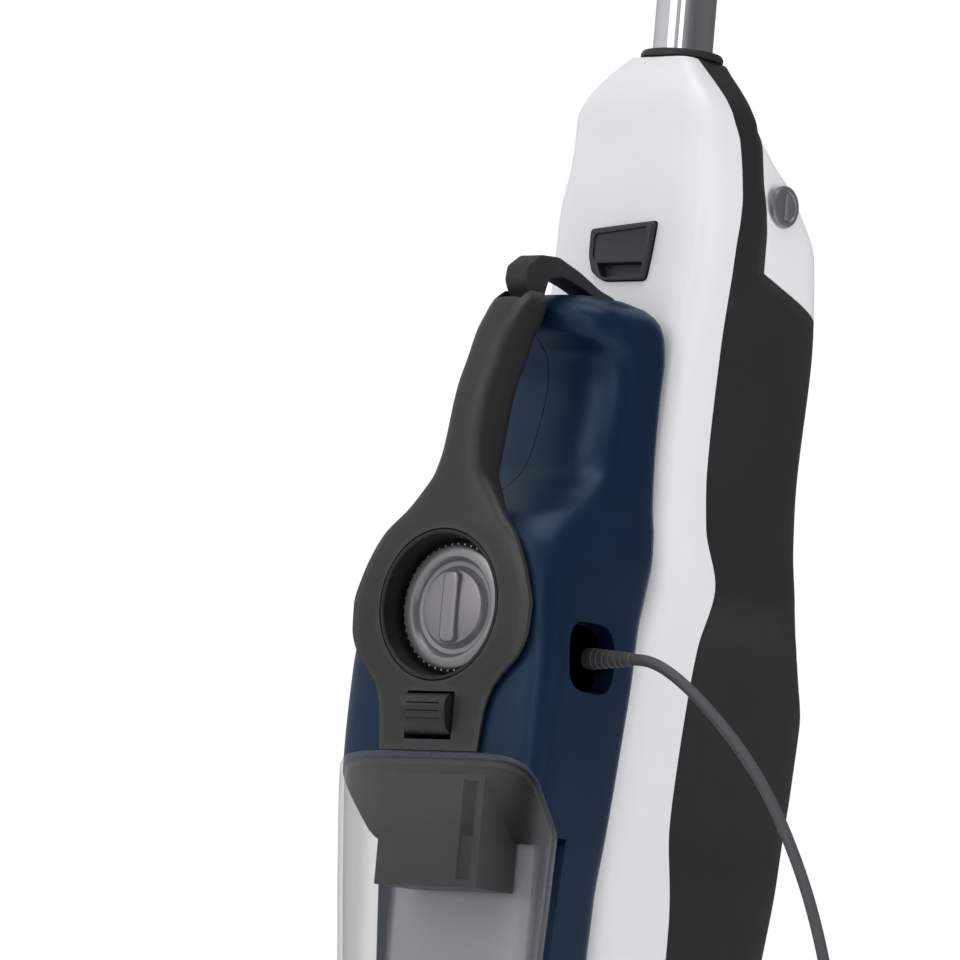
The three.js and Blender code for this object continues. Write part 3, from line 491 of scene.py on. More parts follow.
CORD_R = 3.0
CORD_ROUTE = [
    (70, -98, 381), (80.3, -98, 381), (89, -97.6, 380.4), (99, -96.4, 377), (112, -94, 368.8),
    (128, -90, 355), (144.5, -84.8, 337), (159.5, -79, 315.4), (171.8, -73.2, 291),
    (181.8, -67.5, 265), (189.8, -62.5, 237), (196.6, -58, 205), (202.6, -53.5, 168),
    (208, -48.5, 128), (212.6, -42.5, 90), (216, -34, 55), (217.2, -22, 28), (218.2, -7, 10.5),
    (218.5, 10, 3.6), (218.6, 23, 3.2), (218.6, 36, 3.2), (218.6, 50, 3.2),
]
COIL_CENTRE = np.array([273.0, 62.0])
COIL_TRACKS = [29.6, 35.8, 42.0, 48.2, 54.4]
COIL_LEVELS = [3.2, 9.4, 15.6, 21.8]
COIL_SHIFT = 100
LAYER_TURN = 360 * len(COIL_TRACKS) - 2 * COIL_SHIFT


def coil_line():
    """The wound part: a layer steps one track a turn, then climbs to the next layer."""
    stops = [(0, COIL_TRACKS[-1], COIL_LEVELS[0])]
    for layer, z in enumerate(COIL_LEVELS):
        start = layer * LAYER_TURN
        tracks = COIL_TRACKS[::-1] if layer % 2 == 0 else COIL_TRACKS
        for n in range(1, len(tracks)):
            stops.append((start + 360 * n - 2 * COIL_SHIFT, tracks[n - 1], z))
            stops.append((start + 360 * n - COIL_SHIFT, tracks[n], z))
        if layer < len(COIL_LEVELS) - 1:
            stops.append((start + LAYER_TURN - COIL_SHIFT, tracks[-1], z))
            stops.append((start + LAYER_TURN, tracks[-1], COIL_LEVELS[layer + 1]))
    end = stops[-1][0]
    end += (180 - end) % 360
    stops.append((end, stops[-1][1], stops[-1][2]))
    turn = np.arange(0, end + 0.1, 10)
    at, radius, height = np.array(stops).T
    k = np.clip(np.searchsorted(at, turn, side="right") - 1, 0, len(at) - 2)
    share = (turn - at[k]) / np.maximum(at[k + 1] - at[k], 1e-9)
    ease = (1 - np.cos(np.pi * np.clip(share, 0, 1))) / 2
    r = radius[k] + (radius[k + 1] - radius[k]) * ease
    z = height[k] + (height[k + 1] - height[k]) * ease
    angle = np.radians(180 - turn)
    return np.stack([COIL_CENTRE[0] + r * np.cos(angle), COIL_CENTRE[1] + r * np.sin(angle), z], 1)


coil = coil_line()
PLUG_X, PLUG_Z = COIL_CENTRE[0] + COIL_TRACKS[-1], 12.4
run_out = [tuple(coil[-1]), (PLUG_X, 55, 21.8), (PLUG_X, 47, 21.3), (PLUG_X, 39, 19.5), (PLUG_X, 31, 16.8),
           (PLUG_X, 24, 14.4), (PLUG_X, 17, 12.9), (PLUG_X, 10, PLUG_Z), (PLUG_X, 2, PLUG_Z)]
cord_points = np.vstack([catmull(CORD_ROUTE, 6)[6:], coil[1:], catmull(run_out, 4)[1:]]) * MM
line = bpy.data.curves.new("mains_cord", "CURVE")
line.dimensions = "3D"
line.bevel_depth = CORD_R * MM
line.bevel_resolution = 6
line.use_fill_caps = True
spline = line.splines.new("POLY")
spline.points.add(len(cord_points) - 1)
for point, place in zip(spline.points, cord_points):
    point.co = (*place, 1)
mains_cord = bpy.data.objects.new("mains_cord", line)
scene.collection.objects.link(mains_cord)
piece(mains_cord, "cord_lead", "cord_coil")

# Plug: a moulded two-pin body with finger flutes and a tapered sleeve.
plug_shape = [(-12, 4), (-16.5, -10), (-17.5, -26), (17.5, -26), (16.5, -10), (12, 4)]
plug = prism("plug_body", [(PLUG_X + x, y) for x, y in plug_shape], 0.6, 23.8, "z", radius=7)
grooves = [box("groove", (PLUG_X + s * 19 - 3, PLUG_X + s * 19 + 3), (y, y + 1.6), (4, 20)) for s in (-1, 1)
           for y in (-21, -17, -13)]
cut(plug, *grooves)
soften(plug, 2.2, 4, 50)
sleeve_profile = [(0, -21), (3.4, -21), (3.9, -20.6), (4.6, -13), (5.6, -5), (6.2, -1), (0, -1)]
sleeve = lathe("plug_sleeve", sleeve_profile, (PLUG_X, 0, PLUG_Z), "y", 40)
plug = piece(joined(plug, settle(sleeve)), "plug")
for side, node in ((-9.5, "plug_pin_left"), (9.5, "plug_pin_right")):
    pin_profile = [(0, 45.4), (1.4, 45.4), (2.3, 44.2), (2.4, 42), (2.4, 26.2), (0, 26.2)]
    piece(settle(lathe(node + "_fine", pin_profile, (PLUG_X + side, 0, PLUG_Z), "y", 32)), node)

# Hook-and-loop tie round the windings.
TIE_MID, TIE_HALF, TIE_THICK, TIE_REACH = (42, 13.3), 7, 1.1, 16
tie_path = filleted([(26.2, 0.4), (57.8, 0.4), (57.8, 26.2), (26.2, 26.2)], 6, 6)
tie_verts, turns = [], len(tie_path)
for half_width in (-TIE_HALF, TIE_HALF):
    for inner in (0, TIE_THICK):
        for r, z in tie_path:
            scale = 1 - inner / TIE_REACH
            along, up = TIE_MID[0] + (r - TIE_MID[0]) * scale, TIE_MID[1] + (z - TIE_MID[1]) * scale
            tie_verts.append((COIL_CENTRE[0] + half_width, COIL_CENTRE[1] + along, up))
tie_faces = []
for i in range(turns):
    j = (i + 1) % turns
    a, b, c, d = i, i + turns, i + 2 * turns, i + 3 * turns
    e, f, g, h = j, j + turns, j + 2 * turns, j + 3 * turns
    tie_faces += [(a, e, g, c), (b, d, h, f), (a, b, f, e), (c, g, h, d)]
tie = settle(new_object("cord_tie", tie_verts, tie_faces))
tie.data.materials.append(LOOKS["rubber"])
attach(tie, "hand_vac")

# Strain relief: a ribbed taper out of a dark block deep in the side pocket.
GLAND_Y, GLAND_Z = -98, 381
RELIEF_RIBS, RIB_STEP, RIB_TAPER = 6, 3.8, 0.28
relief_profile = [(0, 50), (5.6, 50), (5.6, 56)]
for k in range(RELIEF_RIBS):
    r, along = 5.2 - RIB_TAPER * k, 56.6 + RIB_STEP * k
    relief_profile += [(r, along), (r, along + 2.4), (r - 0.7, along + 2.9), (r - 0.7, along + 3.6)]
relief_profile += [(3.5, 79), (3.2, 80.2), (0, 80.2)]
piece(settle(lathe("strain_relief", relief_profile, (0, GLAND_Y, GLAND_Z), "x", 48)), "cord_gland")
POCKET = [(-132, 362), (-90, 362), (-90, 398), (-132, 398)]
block = soften(prism("gland_block", POCKET, 49, 50.4, "x", radius=14), 0.4)
block.data.materials.append(LOOKS["black_plastic"])
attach(block, "hand_vac")


# ---- upright body ----------------------------------------------------
FOOT_Z, SHOULDER_Z, BODY_TOP = 128, 676, 711
BODY = [
    (FOOT_Z, 34, 34, -44, 48), (136, 39, 39, -52, 56), (160, 43, 43, -62, 68), (200, 45, 45, -68, 82),
    (240, 46, 46, -69, 92), (270, 46, 46, -68, 98), (302, 45, 45, -65, 103),
    (335, 46, 46, -62, 106), (366, 47.5, 47.5, -59, 107), (397, 50, 50, -55.5, 97.6),
    (429, 55, 55, -52, 84.2), (460, 52, 52, -50, 81.8), (492, 50.5, 50.5, -48, 81.5),
    (555, 52, 52, -43, 83.6), (602, 54, 54, -37, 77.4), (617, 54, 54, -36.5, 74.4),
    (632, 52.5, 52.5, -36, 65.4), (648, 49, 49, -35, 54), (663, 47, 47, -34, 34.5),
    (678, 46, 46, -33.6, 20.6), (687, 41.6, 41.6, -32.8, 19.5), (696, 34.2, 34.2, -30.2, 19.5),
    (704, 26.6, 26.6, -26.4, 19.5), (BODY_TOP, 19.8, 19.8, -21.2, 19.5),
]
BODY_POWER = (7, 5)
PARTING = [
    (100, -8), (250, -6.4), (302, -11.3), (366, -8.8), (397, -6.8), (429, -2.5), (460, -10.6), (492, -12),
    (555, -11), (610, -7.6), (652, -1), (666, -2.4), (680, -9), (740, -12),
]
SEAT_Y, SEAT_Z, SLOPE = 16.7, 599.2, 0.325
SPINE_R = 24
SHELL_WALL, PARTING_GAP, BEARING_HOLE = 2.4, 0.25, 25
DUCT_Z = 190


def parting(z):
    return float(smooth_rows(PARTING, z)[0, 1])


def under_tank(y):
    return SEAT_Z - (y - SEAT_Y) * SLOPE


def body_line(z, low, high, count):
    """Points along the right side of the body from y = low to high; None means the centre line."""
    row = smooth_rows(BODY, z)[0]
    line = half_section(row, BODY_POWER)
    low = line[0, 1] + 1e-6 if low is None else max(low, line[0, 1] + 1e-6)
    high = line[-1, 1] - 1e-6 if high is None else min(high, line[-1, 1] - 1e-6)
    return np.column_stack([resampled(between(line, low, high), count), np.full(count, z)])


def grid(verts, faces, rows):
    """Adds a sheet of points to a mesh under construction."""
    start, n = len(verts), len(rows[0])
    for row in rows:
        verts += [tuple(p) for p in row]
    for k in range(len(rows) - 1):
        for i in range(n - 1):
            a = start + k * n + i
            faces.append((a, a + 1, a + n + 1, a + n))


def mirrored(row):
    return np.array(row) * (-1, 1, 1)


def walled(name, verts, faces, thickness, edge=0.7):
    """A moulded shell: the outer sheet gets a wall inwards and rounded rims."""
    made = new_object(name, verts, faces)
    bm = bmesh.new()
    bm.from_mesh(made.data)
    centre = Vector((0, 0, 0))
    for v in bm.verts:
        centre += v.co / len(bm.verts)
    outward = sum((f.calc_center_median() - centre).dot(f.normal) * f.calc_area() for f in bm.faces)
    if outward < 0:
        bmesh.ops.reverse_faces(bm, faces=bm.faces)
    bm.to_mesh(made.data)
    bm.free()
    modifier(
        made, "SOLIDIFY", thickness=thickness * MM, offset=-1, use_even_offset=True, use_quality_normals=True
    )
    return soften(made, edge, 3, 50)


def with_floor(rows):
    """Adds the floor: rows from the hole round the neck bearing out to the body's lowest row."""
    outer = rows[0]
    inner = outer * (1, 1, 0) / np.hypot(outer[:, 0], outer[:, 1])[:, None] * BEARING_HOLE + (0, 0, FOOT_Z)
    return [inner * (1 - t) + outer * t for t in (0, 0.35, 0.7, 0.9)] + rows[1:]


shoulder_heights = np.arange(SHOULDER_Z, BODY_TOP + 0.1, 2.5)
body_heights = np.concatenate([
    FOOT_Z + np.array([0, 1.5, 4, 8]), np.arange(140, SHOULDER_Z, 4), shoulder_heights,
])
front_rows = []
for z in body_heights:
    right = body_line(z, None, parting(z) - PARTING_GAP, 30)
    front_rows.append(np.vstack([mirrored(right[::-1]), right[1:]]))
verts, faces = [], []
grid(verts, faces, with_floor(front_rows))
front_shell = walled("front_shell_fine", verts, faces, SHELL_WALL)
button_outline = [(-19, 615.5), (-19, 601), (-16, 592), (-8, 588), (19, 588), (22, 619)]
grown = [(-19.8, 616.4), (-19.8, 600.8), (-16.7, 591.3), (-8.2, 587.2), (19.7, 587.2), (22.9, 620)]
cut(front_shell, prism("well", grown, -60, -20, "y", radius=3),
    rod("dock_mouth", 15.3, (0, -100, DUCT_Z), -40, "y"))
piece(front_shell, "front_shell")

verts, faces = [], []
lower = [z for z in body_heights if z < SEAT_Z - 2] + [SEAT_Z]
share = (np.array(lower) - FOOT_Z) / (SEAT_Z - FOOT_Z)
upper = [SEAT_Z] + [z for z in body_heights if z > SEAT_Z + 2]
flank = [body_line(z, parting(z) + PARTING_GAP, SEAT_Y, 7) for z in lower]
# Round the back, each column climbs to the sloping shelf under the water tank.
BACK, FINE = 30, 200
columns = []
for s in np.linspace(0, 1, BACK):
    at = int(round(s * (FINE - 1)))
    top = SEAT_Z
    for _ in range(12):
        top = under_tank(body_line(top, SEAT_Y, None, FINE)[at, 1])
    columns.append([body_line(FOOT_Z + f * (top - FOOT_Z), SEAT_Y, None, FINE)[at] for f in share])
back_rows = [np.array([columns[c][k] for c in range(BACK)]) for k in range(len(share))]
whole = []
for k in range(len(share)):
    right = np.vstack([flank[k], back_rows[k][1:]])
    whole.append(np.vstack([right, mirrored(right[::-1])[1:]]))
grid(verts, faces, with_floor(whole))
shelf = back_rows[-1]
grid(verts, faces, [shelf] + [shelf * (1 - 2 * t, 1, 1) for t in (0.25, 0.5, 0.75)] + [mirrored(shelf)])
spine = []
for z in upper:
    right = body_line(z, parting(z) + PARTING_GAP, SEAT_Y, 7)
    across = np.array([(right[-1][0] * t, right[-1][1], z) for t in np.linspace(0.8, -0.8, 9)])
    spine.append(np.vstack([right, across, mirrored(right[::-1])]))
grid(verts, faces, spine)
rear_shell = walled("rear_shell_fine", verts, faces, SHELL_WALL)
sleeve_rows = [
    [(SPINE_R * math.sin(a), SPINE_R * math.cos(a), z) for a in np.linspace(-0.97, 0.97, 28)]
    for z in np.arange(SEAT_Z - 4, BODY_TOP + 0.5, 6)
]
verts, faces = [], []
grid(verts, faces, sleeve_rows)
piece(joined(rear_shell, walled("sleeve", verts, faces, 2.0)), "rear_shell")

collar_profile = [
    (16.6, 711.6), (21.4, 711.6), (22, 712.2), (22, 714), (21, 715.6), (19.4, 716), (16.9, 716),
    (16.6, 715.6), (16.6, 711.6),
]
piece(settle(lathe("pole_collar_fine", collar_profile)), "pole_collar")
POLE_R, POLE_BORE, POLE_FOOT, POLE_TOP = 16, 14.6, 618, 1010
pole_profile = [(POLE_BORE, POLE_FOOT), (POLE_R, POLE_FOOT), (POLE_R, POLE_TOP), (POLE_BORE, POLE_TOP),
                (POLE_BORE, POLE_FOOT)]
piece(settle(lathe("pole_fine", pole_profile, segments=128)), "pole")

# Release button: a scooped pad with a deep thumb lip at its foot.
button = prism("release_button_fine", button_outline, -41, -29.2, "y", radius=2.5)
scoop = prism("scoop", [(-16.2, 612.6), (-16.2, 599), (17.2, 599), (19, 616)], -60, -39.6, "y", radius=2.5)
lip = prism("lip", [(-13, 597), (-9.4, 589.6), (17, 589.6), (17.6, 597)], -60, -34.6, "y", radius=1.6)
cut(button, scoop, lip)
piece(soften(button, 0.8), "release_button")

# ---- water tank ------------------------------------------------------
CAP_Y, CAP_Z = 29.6, 637
tank_keys = smooth_rows(BODY, np.concatenate([np.arange(560, SHOULDER_Z, 4), shoulder_heights]))
water_tank = loft("water_tank_fine", tank_keys, BODY_POWER, heights=tank_keys[:, 0], half=40)
hollow = loft("hollow", tank_keys, BODY_POWER, heights=tank_keys[:-8, 0], half=40, inset=2.6)
zone = [(17.1, 720), (17.1, under_tank(17.1) + 0.4), (130, under_tank(130) + 0.4), (130, 720)]
inner_zone = [(19.7, 664), (19.7, under_tank(19.7) + 3.6), (130, under_tank(130) + 3.6), (130, 664)]
combine(water_tank, "INTERSECT", prism("zone", zone, -80, 80, "x"))
combine(hollow, "INTERSECT", prism("inner_zone", inner_zone, -80, 80, "x"))
cut(hollow, rod("clear", SPINE_R + 3, (0, 0, 540), 760, "z", segments=96))
cut(water_tank, rod("clear", SPINE_R + 0.4, (0, 0, 540), 760, "z", segments=96), hollow)
cut(water_tank, rod("cap_hole", 8.4, (30, CAP_Y, CAP_Z), 80, "x"))
piece(soften(water_tank, 0.8, 3, 50), "water_tank")
cap_profile = [
    (0, 40.2), (8, 40.2), (8, 52.6), (11, 52.9), (11.4, 53.6), (11.1, 55), (10.4, 55.7),
    (8.4, 55.8), (7.8, 55.1), (0, 54.8),
]
filler_cap = settle(lathe("filler_cap_fine", cap_profile, (0, CAP_Y, CAP_Z), "x"))
bar = soften(box("cap_bar", (54.2, 56.4), (CAP_Y - 1.4, CAP_Y + 1.4), (CAP_Z - 7, CAP_Z + 7)), 0.6)
piece(joined(filler_cap, bar), "filler_cap")

# ---- hand vacuum -----------------------------------------------------
VAC = [
    (150, 52, 46, -148, -72, 5.5), (156, 56, 48.5, -151, -70.4, 5.5),
    (200, 60, 50, -152, -70.4, 5.5), (260, 66, 53, -154, -70.4, 6), (290, 68, 55.5, -155, -68.2, 7),
    (331, 69.5, 57.5, -156, -64.5, 7), (370, 69, 58.5, -154.8, -60.5, 7),
    (400, 66, 57.5, -153.2, -57, 6), (420, 63, 59, -152.2, -54.5, 5.4),
    (436, 59.5, 60.5, -150, -53, 4.4), (450, 55, 58.8, -141, -52, 3.8),
    (464, 50, 54.8, -120, -51.2, 3.4), (480, 46.5, 51.8, -101, -50.4, 3.1),
    (500, 45.5, 49.5, -93, -49, 3), (526, 45, 48.5, -88, -47.5, 3), (540, 43.5, 48.5, -91, -46, 3),
    (551, 41, 48, -103, -45.5, 3), (561, 39, 45, -105, -47, 3), (568, 32, 38, -100, -52, 3),
    (572, 22, 27, -92, -60, 3),
]
VAC_POWER = (7, 7)
DIAL_Z = 401
RIM_FRONT, RIM_REAR, TANK_REAR_Y = (-157, 324), (-125, 286), -118
RIM_SLOPE = (RIM_FRONT[1] - RIM_REAR[1]) / (RIM_FRONT[0] - RIM_REAR[0])
VENTS, VENT_Y, VENT_Z, VENT_STEP, VENT_TALL = 6, (-106, -76), 352, 8, 3.6


def rim_at(y):
    return RIM_REAR[1] + (y - RIM_REAR[0]) * RIM_SLOPE


def vent(k):
    low = VENT_Z + VENT_STEP * k
    front, rear = VENT_Y
    outline = [(front, low), (rear, low), (rear, low + VENT_TALL), (front, low + VENT_TALL)]
    return prism("vent", outline, -80, -50, "x", radius=1.7)


case = loft("vac_case", VAC, VAC_POWER, step=3.5, half=46)
tank_space = [(-180, rim_at(-180) + 0.2), (-180, 130), (TANK_REAR_Y + 0.4, 130), (TANK_REAR_Y + 0.4, 286.2),
              (-125, 286.2)]
cut(case, prism("tank_space", tank_space, -90, 90, "x"))
cutters = joined(
    rod("dial_bore", 39.6, (0, -170, DIAL_Z), -142, "y", segments=96),
    box("filter_port", (-28, 28), (-146, -126), (250, 345)),
    box("tab_pocket", (-15.8, 15.8), (-160, -144.5), (331, 357)),
    rod("duct_port", 13.1, (0, -84, DUCT_Z), -40, "y"),
    prism("cord_pocket", POCKET, 50.4, 80, "x", radius=14),
    *[vent(k) for k in range(VENTS)],
)
cut(case, cutters)
HALF_SEAM = 0.2
for name, side in (("vac_case_right", 1), ("vac_case_left", -1)):
    half = case.copy()
    half.data = case.data.copy()
    half.name = name + "_fine"
    scene.collection.objects.link(half)
    bm = bmesh.new()
    bm.from_mesh(half.data)
    everything = bm.verts[:] + bm.edges[:] + bm.faces[:]
    seam_point = (side * HALF_SEAM * MM, 0, 0)
    bmesh.ops.bisect_plane(bm, geom=everything, plane_co=seam_point, plane_no=(-side, 0, 0), clear_outer=True)
    bmesh.ops.holes_fill(bm, edges=[e for e in bm.edges if e.is_boundary], sides=0)
    bmesh.ops.recalc_face_normals(bm, faces=bm.faces)
    bm.to_mesh(half.data)
    bm.free()
    soften(half, 0.6, 2, 50)
    modifier(half, "WEIGHTED_NORMAL", keep_sharp=True)
    piece(half, name)
bpy.data.objects.remove(case)

COLUMN = [
    (326, 33, 33, -160.4, -156.6), (345, 35, 35, -160.4, -156.2), (356, 38, 38, -160.4, -155.8),
    (365, 44, 44, -160.6, -155.4), (376, 54.5, 54.5, -160.8, -155), (388, 59, 59, -161, -154.4),
    (401, 59.6, 59.6, -161, -153.8), (415, 55.6, 55.6, -161, -153.2), (428, 49.6, 49.6, -161, -152),
    (439, 42.6, 42.6, -160.8, -150), (450, 32, 32, -159, -145), (460, 24.4, 24.4, -158, -140),
    (470, 17.6, 17.6, -157.4, -136), (484, 14.4, 14.4, -156, -130.5), (500, 13.5, 13.5, -154, -127),
    (516, 13.5, 13.5, -150.5, -124), (532, 13.5, 13.5, -144.5, -117.5),
    (547, 13.5, 13.5, -139, -112), (557, 13.5, 13.5, -133, -106.5), (565, 13, 13, -127, -105.4),
    (570, 10, 10, -121, -105.4),
]
column = loft("grip_column_fine", COLUMN, (3, 3), step=2.5, half=34)
cut(column, rod("dial_bore", 39.5, (0, -170, DIAL_Z), -140, "y", segments=128),
    box("tab_slot", (-15.7, 15.7), (-170, -140), (331.6, 356.4)),
    box("latch_slot", (-8, 8), (-126, -100), (565, 580)),
    box("latch_foot", (-8, 8), (-121, -100), (555, 570)))
soften(column, 0.9, 3, 50)
modifier(column, "WEIGHTED_NORMAL", keep_sharp=True)
piece(column, "grip_column")

cup_profile = [
    (0, 143.2), (39.1, 143.2), (39.1, 160.2), (38.6, 160.8), (37.6, 160.8), (36.9, 160.1),
    (35.8, 153), (34.8, 146.4), (33.8, 145.4), (0, 145.4),
]
piece(settle(lathe("dial_cup_fine", cup_profile, (0, 0, DIAL_Z), "y", 128)), "dial_cup")
knob_profile = [
    (0, 145.8), (31.6, 145.8), (32.6, 146.4), (32.6, 148.2), (31.8, 149.6), (30.2, 150.4),
    (26.4, 150.2), (25.2, 149.2), (24, 146.8), (21.6, 146.6), (20.6, 148), (19, 149.6), (12, 150.6),
    (0, 151),
]
knob = settle(lathe("dial_knob_fine", knob_profile, (0, 0, DIAL_Z), "y", 128))
DIAL_RIBS = 48
ribs = []
for k in range(DIAL_RIBS):
    rib = box("rib", (-0.5, 0.5), (-148.8, -146.6), (32.3, 33.1))
    rib.data.transform(Matrix.Rotation(2 * math.pi * k / DIAL_RIBS, 4, "Y"))
    rib.data.transform(Matrix.Translation((0, 0, DIAL_Z * MM)))
    ribs.append(rib)
bar_outline = [(-5.4, DIAL_Z - 19), (5.4, DIAL_Z - 19), (5.4, DIAL_Z + 19), (-5.4, DIAL_Z + 19)]
knob_bar = soften(prism("knob_bar", bar_outline, -153.4, -148.4, "y", radius=5.2), 4.2, 8)
piece(joined(knob, knob_bar, *ribs), "dial_knob")

tab_outline = [(-148.6, 334), (-160, 334), (-165, 338), (-167, 350), (-164, 355), (-148.6, 355)]
tab = prism("tank_release_fine", tab_outline, -14.8, 14.8, "x", radius=2.5)
finger = [prism("flute", [(-169, 341 + 4 * k), (-164.8, 341.8 + 4 * k), (-169, 342.6 + 4 * k)], -11, 11, "x")
          for k in range(3)]
cut(tab, joined(*finger))
piece(soften(tab, 0.8), "tank_release")

latch_outline = [
    (-108, 557), (-116, 557), (-117.6, 568), (-122, 575), (-121, 583), (-111, 590), (-96, 591),
    (-78, 586), (-60, 579), (-48, 576.6), (-48, 573.6), (-62, 573.6), (-78, 578), (-93, 581),
    (-103, 578), (-106, 568),
]
latch = prism("dock_latch_fine", latch_outline, -7.4, 7.4, "x", radius=2.4)
piece(soften(latch, 1.0, 4), "dock_latch")

# ---- dust tank -------------------------------------------------------
TANK = [
    (152, 48, 48, -138, -118), (154, 51.5, 51.5, -142.6, -118), (158, 54.4, 54.4, -146, -118),
    (168, 57, 57, -149, -118), (220, 61, 60, -152.5, -118), (270, 64, 63, -156, -118),
    (325, 66.5, 65, -158.5, -118), (330, 66.5, 65, -158.5, -118),
]
TANK_POWER = (5, 5)
under_rim = [(-190, rim_at(-190) - 0.2), (-190, 140), (-100, 140), (-100, 285.8), (-125, 285.8)]
dust_tank = loft("dust_tank_fine", TANK, TANK_POWER, step=3, half=40)
combine(dust_tank, "INTERSECT", prism("under_rim", under_rim, -90, 90, "x"))
bowl_keys = smooth_rows(TANK, np.concatenate([[156, 158, 161, 165], np.arange(170, 331, 5)]))
cut(dust_tank, loft("bowl", bowl_keys, TANK_POWER, heights=bowl_keys[:, 0], half=40, inset=2.2))
piece(soften(dust_tank, 0.5, 2, 50), "dust_tank")
for name in ("filter_frame", "filter_cartridge", "boiler", "pump", "suction_motor", "impeller"):
    modifier(frame["nodes"][name], "BEVEL", width=0.5 * MM, segments=2, limit_method="ANGLE",
             angle_limit=math.radians(40))

# ---- handle ----------------------------------------------------------
HANDLE = [
    (996, 22, 22, -22, 22), (1004, 23, 23, -24, 23), (1030, 19, 19, -23, 19),
    (1060, 17, 17, -22, 18), (1110, 17, 17, -19, 22), (1150, 19, 19, -16, 27),
    (1162, 17, 17, -12.6, 26), (1167.5, 14, 14, -9, 23), (1170, 10, 10, -4, 18),
]
for name, side in (("handle_front", -1), ("handle_rear", 1)):
    grip = loft(name + "_fine", HANDLE, (2.6, 2.6), step=3, half=34)
    y = (-60, 1.8) if side < 0 else (2.2, 60)
    combine(grip, "INTERSECT", box("zone", (-60, 60), y, (980, 1180)))
    cut(grip, rod("pole_hole", 16.3, (0, 0, 980), 1012, "z", segments=96))
    if side < 0:
        slot = [(-7.4, 1062), (7.4, 1062), (7.4, 1122), (-7.4, 1122)]
        cut(grip, prism("slot", slot, -60, -5, "y", radius=3))
    piece(soften(grip, 0.8, 3, 50), name)
trigger_outline = [(-12, 1118), (-24, 1115), (-31, 1100), (-33, 1080), (-28, 1067), (-12, 1066)]
trigger = prism("steam_trigger_fine", trigger_outline, -6.8, 6.8, "x", radius=8)
piece(soften(trigger, 1.4, 4), "steam_trigger")

hook = prism("hook_arm", [(26, 1030), (26, 1043), (44, 1050), (52, 1062), (56, 1060), (49, 1040), (36, 1030)],
             -7, 7, "x", radius=3)
hook_ring = [(24.8, 1028), (28, 1028), (28.4, 1028.6), (28.4, 1043.4), (28, 1044), (24.8, 1044), (24.8, 1028)]
piece(joined(soften(hook, 1.2), settle(lathe("hook_ring", hook_ring))), "upper_cord_hook")
low_hook_outline = [(104.4, 320), (105, 331), (112, 330), (124, 314), (120, 310), (106, 320)]
low_hook = prism("lower_cord_hook_fine", low_hook_outline, -8, 8, "x", radius=1.5)
piece(soften(low_hook, 1.0), "lower_cord_hook")

# ---- neck ------------------------------------------------------------
stem_profile = [
    (12.5, 66), (18.6, 64), (20, 68), (20, 117), (19.4, 118), (17, 118), (17, 150.4), (16.4, 151),
    (12.5, 151), (12.5, 66),
]
stem = settle(lathe("neck_stem", stem_profile))
PIN_Y, PIN_Z, PIN_HOLE = 22, 42, 5.3
shank_outline = [(6, 60), (12, 34), (32, 34), (36, 44), (20, 76), (-14, 76), (-16, 68)]
shank = prism("shank", shank_outline, -16, 16, "x", radius=5)
combine(shank, "UNION", rod("hub", 15, (-26, PIN_Y, PIN_Z), 26, "x", segments=96))
cut(shank, rod("bore", 12.4, (0, 0, 62), 90, "z"), rod("pin", PIN_HOLE, (-40, PIN_Y, PIN_Z), 40, "x"))
soften(shank, 1.2, 3, 40)
piece(joined(stem, shank), "neck")
bearing_profile = [(17.4, 118.6), (23.2, 118.6), (23.8, 119.2), (23.8, 142.6), (17.4, 142.6), (17.4, 118.6)]
piece(settle(lathe("swivel_bearing_fine", bearing_profile)), "swivel_bearing")

# ---- floor head ------------------------------------------------------
def rounded_plan(x, y0, y1, r, steps=12):
    corners = [(x - r, y1 - r, 0), (-x + r, y1 - r, 90), (-x + r, y0 + r, 180), (x - r, y0 + r, 270)]
    return [(cx + r * math.cos(math.radians(a + t)), cy + r * math.sin(math.radians(a + t)))
            for cx, cy, a in corners for t in np.linspace(0, 90, steps)]


HEAD_X, HEAD_FRONT, HEAD_REAR, HEAD_CORNER, HEAD_WALL = 146, -150, 92, 30, 3
WHEEL_X, AXLE_Y, AXLE_Z = 112, 70, 17.2
PILLOW_WIDE = 15
base = prism("head_base_fine", rounded_plan(HEAD_X, HEAD_FRONT, HEAD_REAR, HEAD_CORNER), 12.8, 33.6, "z")
inner_plan = rounded_plan(HEAD_X - HEAD_WALL, HEAD_FRONT + HEAD_WALL, HEAD_REAR - HEAD_WALL,
                          HEAD_CORNER - HEAD_WALL)
hollow_base = prism("hollow", inner_plan, 15.8, 60, "z")
walls = [box("mouth", (-121, 121), (-147, -123), (13, 31))]
walls += [box("well", (x - 12, x + 12), (47, 88), (13.8, 33.2)) for x in (-WHEEL_X, WHEEL_X)]
cut(base, hollow_base)
combine(base, "UNION", *walls)
cut(base, box("mouth_hole", (-118, 118), (-144, -126), (0, 29)),
    *[box("well_hole", (x - 9.5, x + 9.5), (50, 100), (0, 40)) for x in (-WHEEL_X, WHEEL_X)],
    box("bay", (-27, 27), (40, 120), (15.8, 80)),
    rod("axle", 3.4, (-140, AXLE_Y, AXLE_Z), 140, "x", segments=24))
for x0 in (28, -43):
    pillow = prism("pillow", [(10, 14.8), (34, 14.8), (34, 42), (10, 42)], x0, x0 + PILLOW_WIDE, "x")
    combine(pillow, "UNION", rod("boss", 12, (x0, PIN_Y, PIN_Z), x0 + PILLOW_WIDE, "x", segments=64))
    combine(base, "UNION", pillow)
cut(base, rod("pin", PIN_HOLE, (-60, PIN_Y, PIN_Z), 60, "x"))
piece(soften(base, 0.7, 2, 50), "head_base")
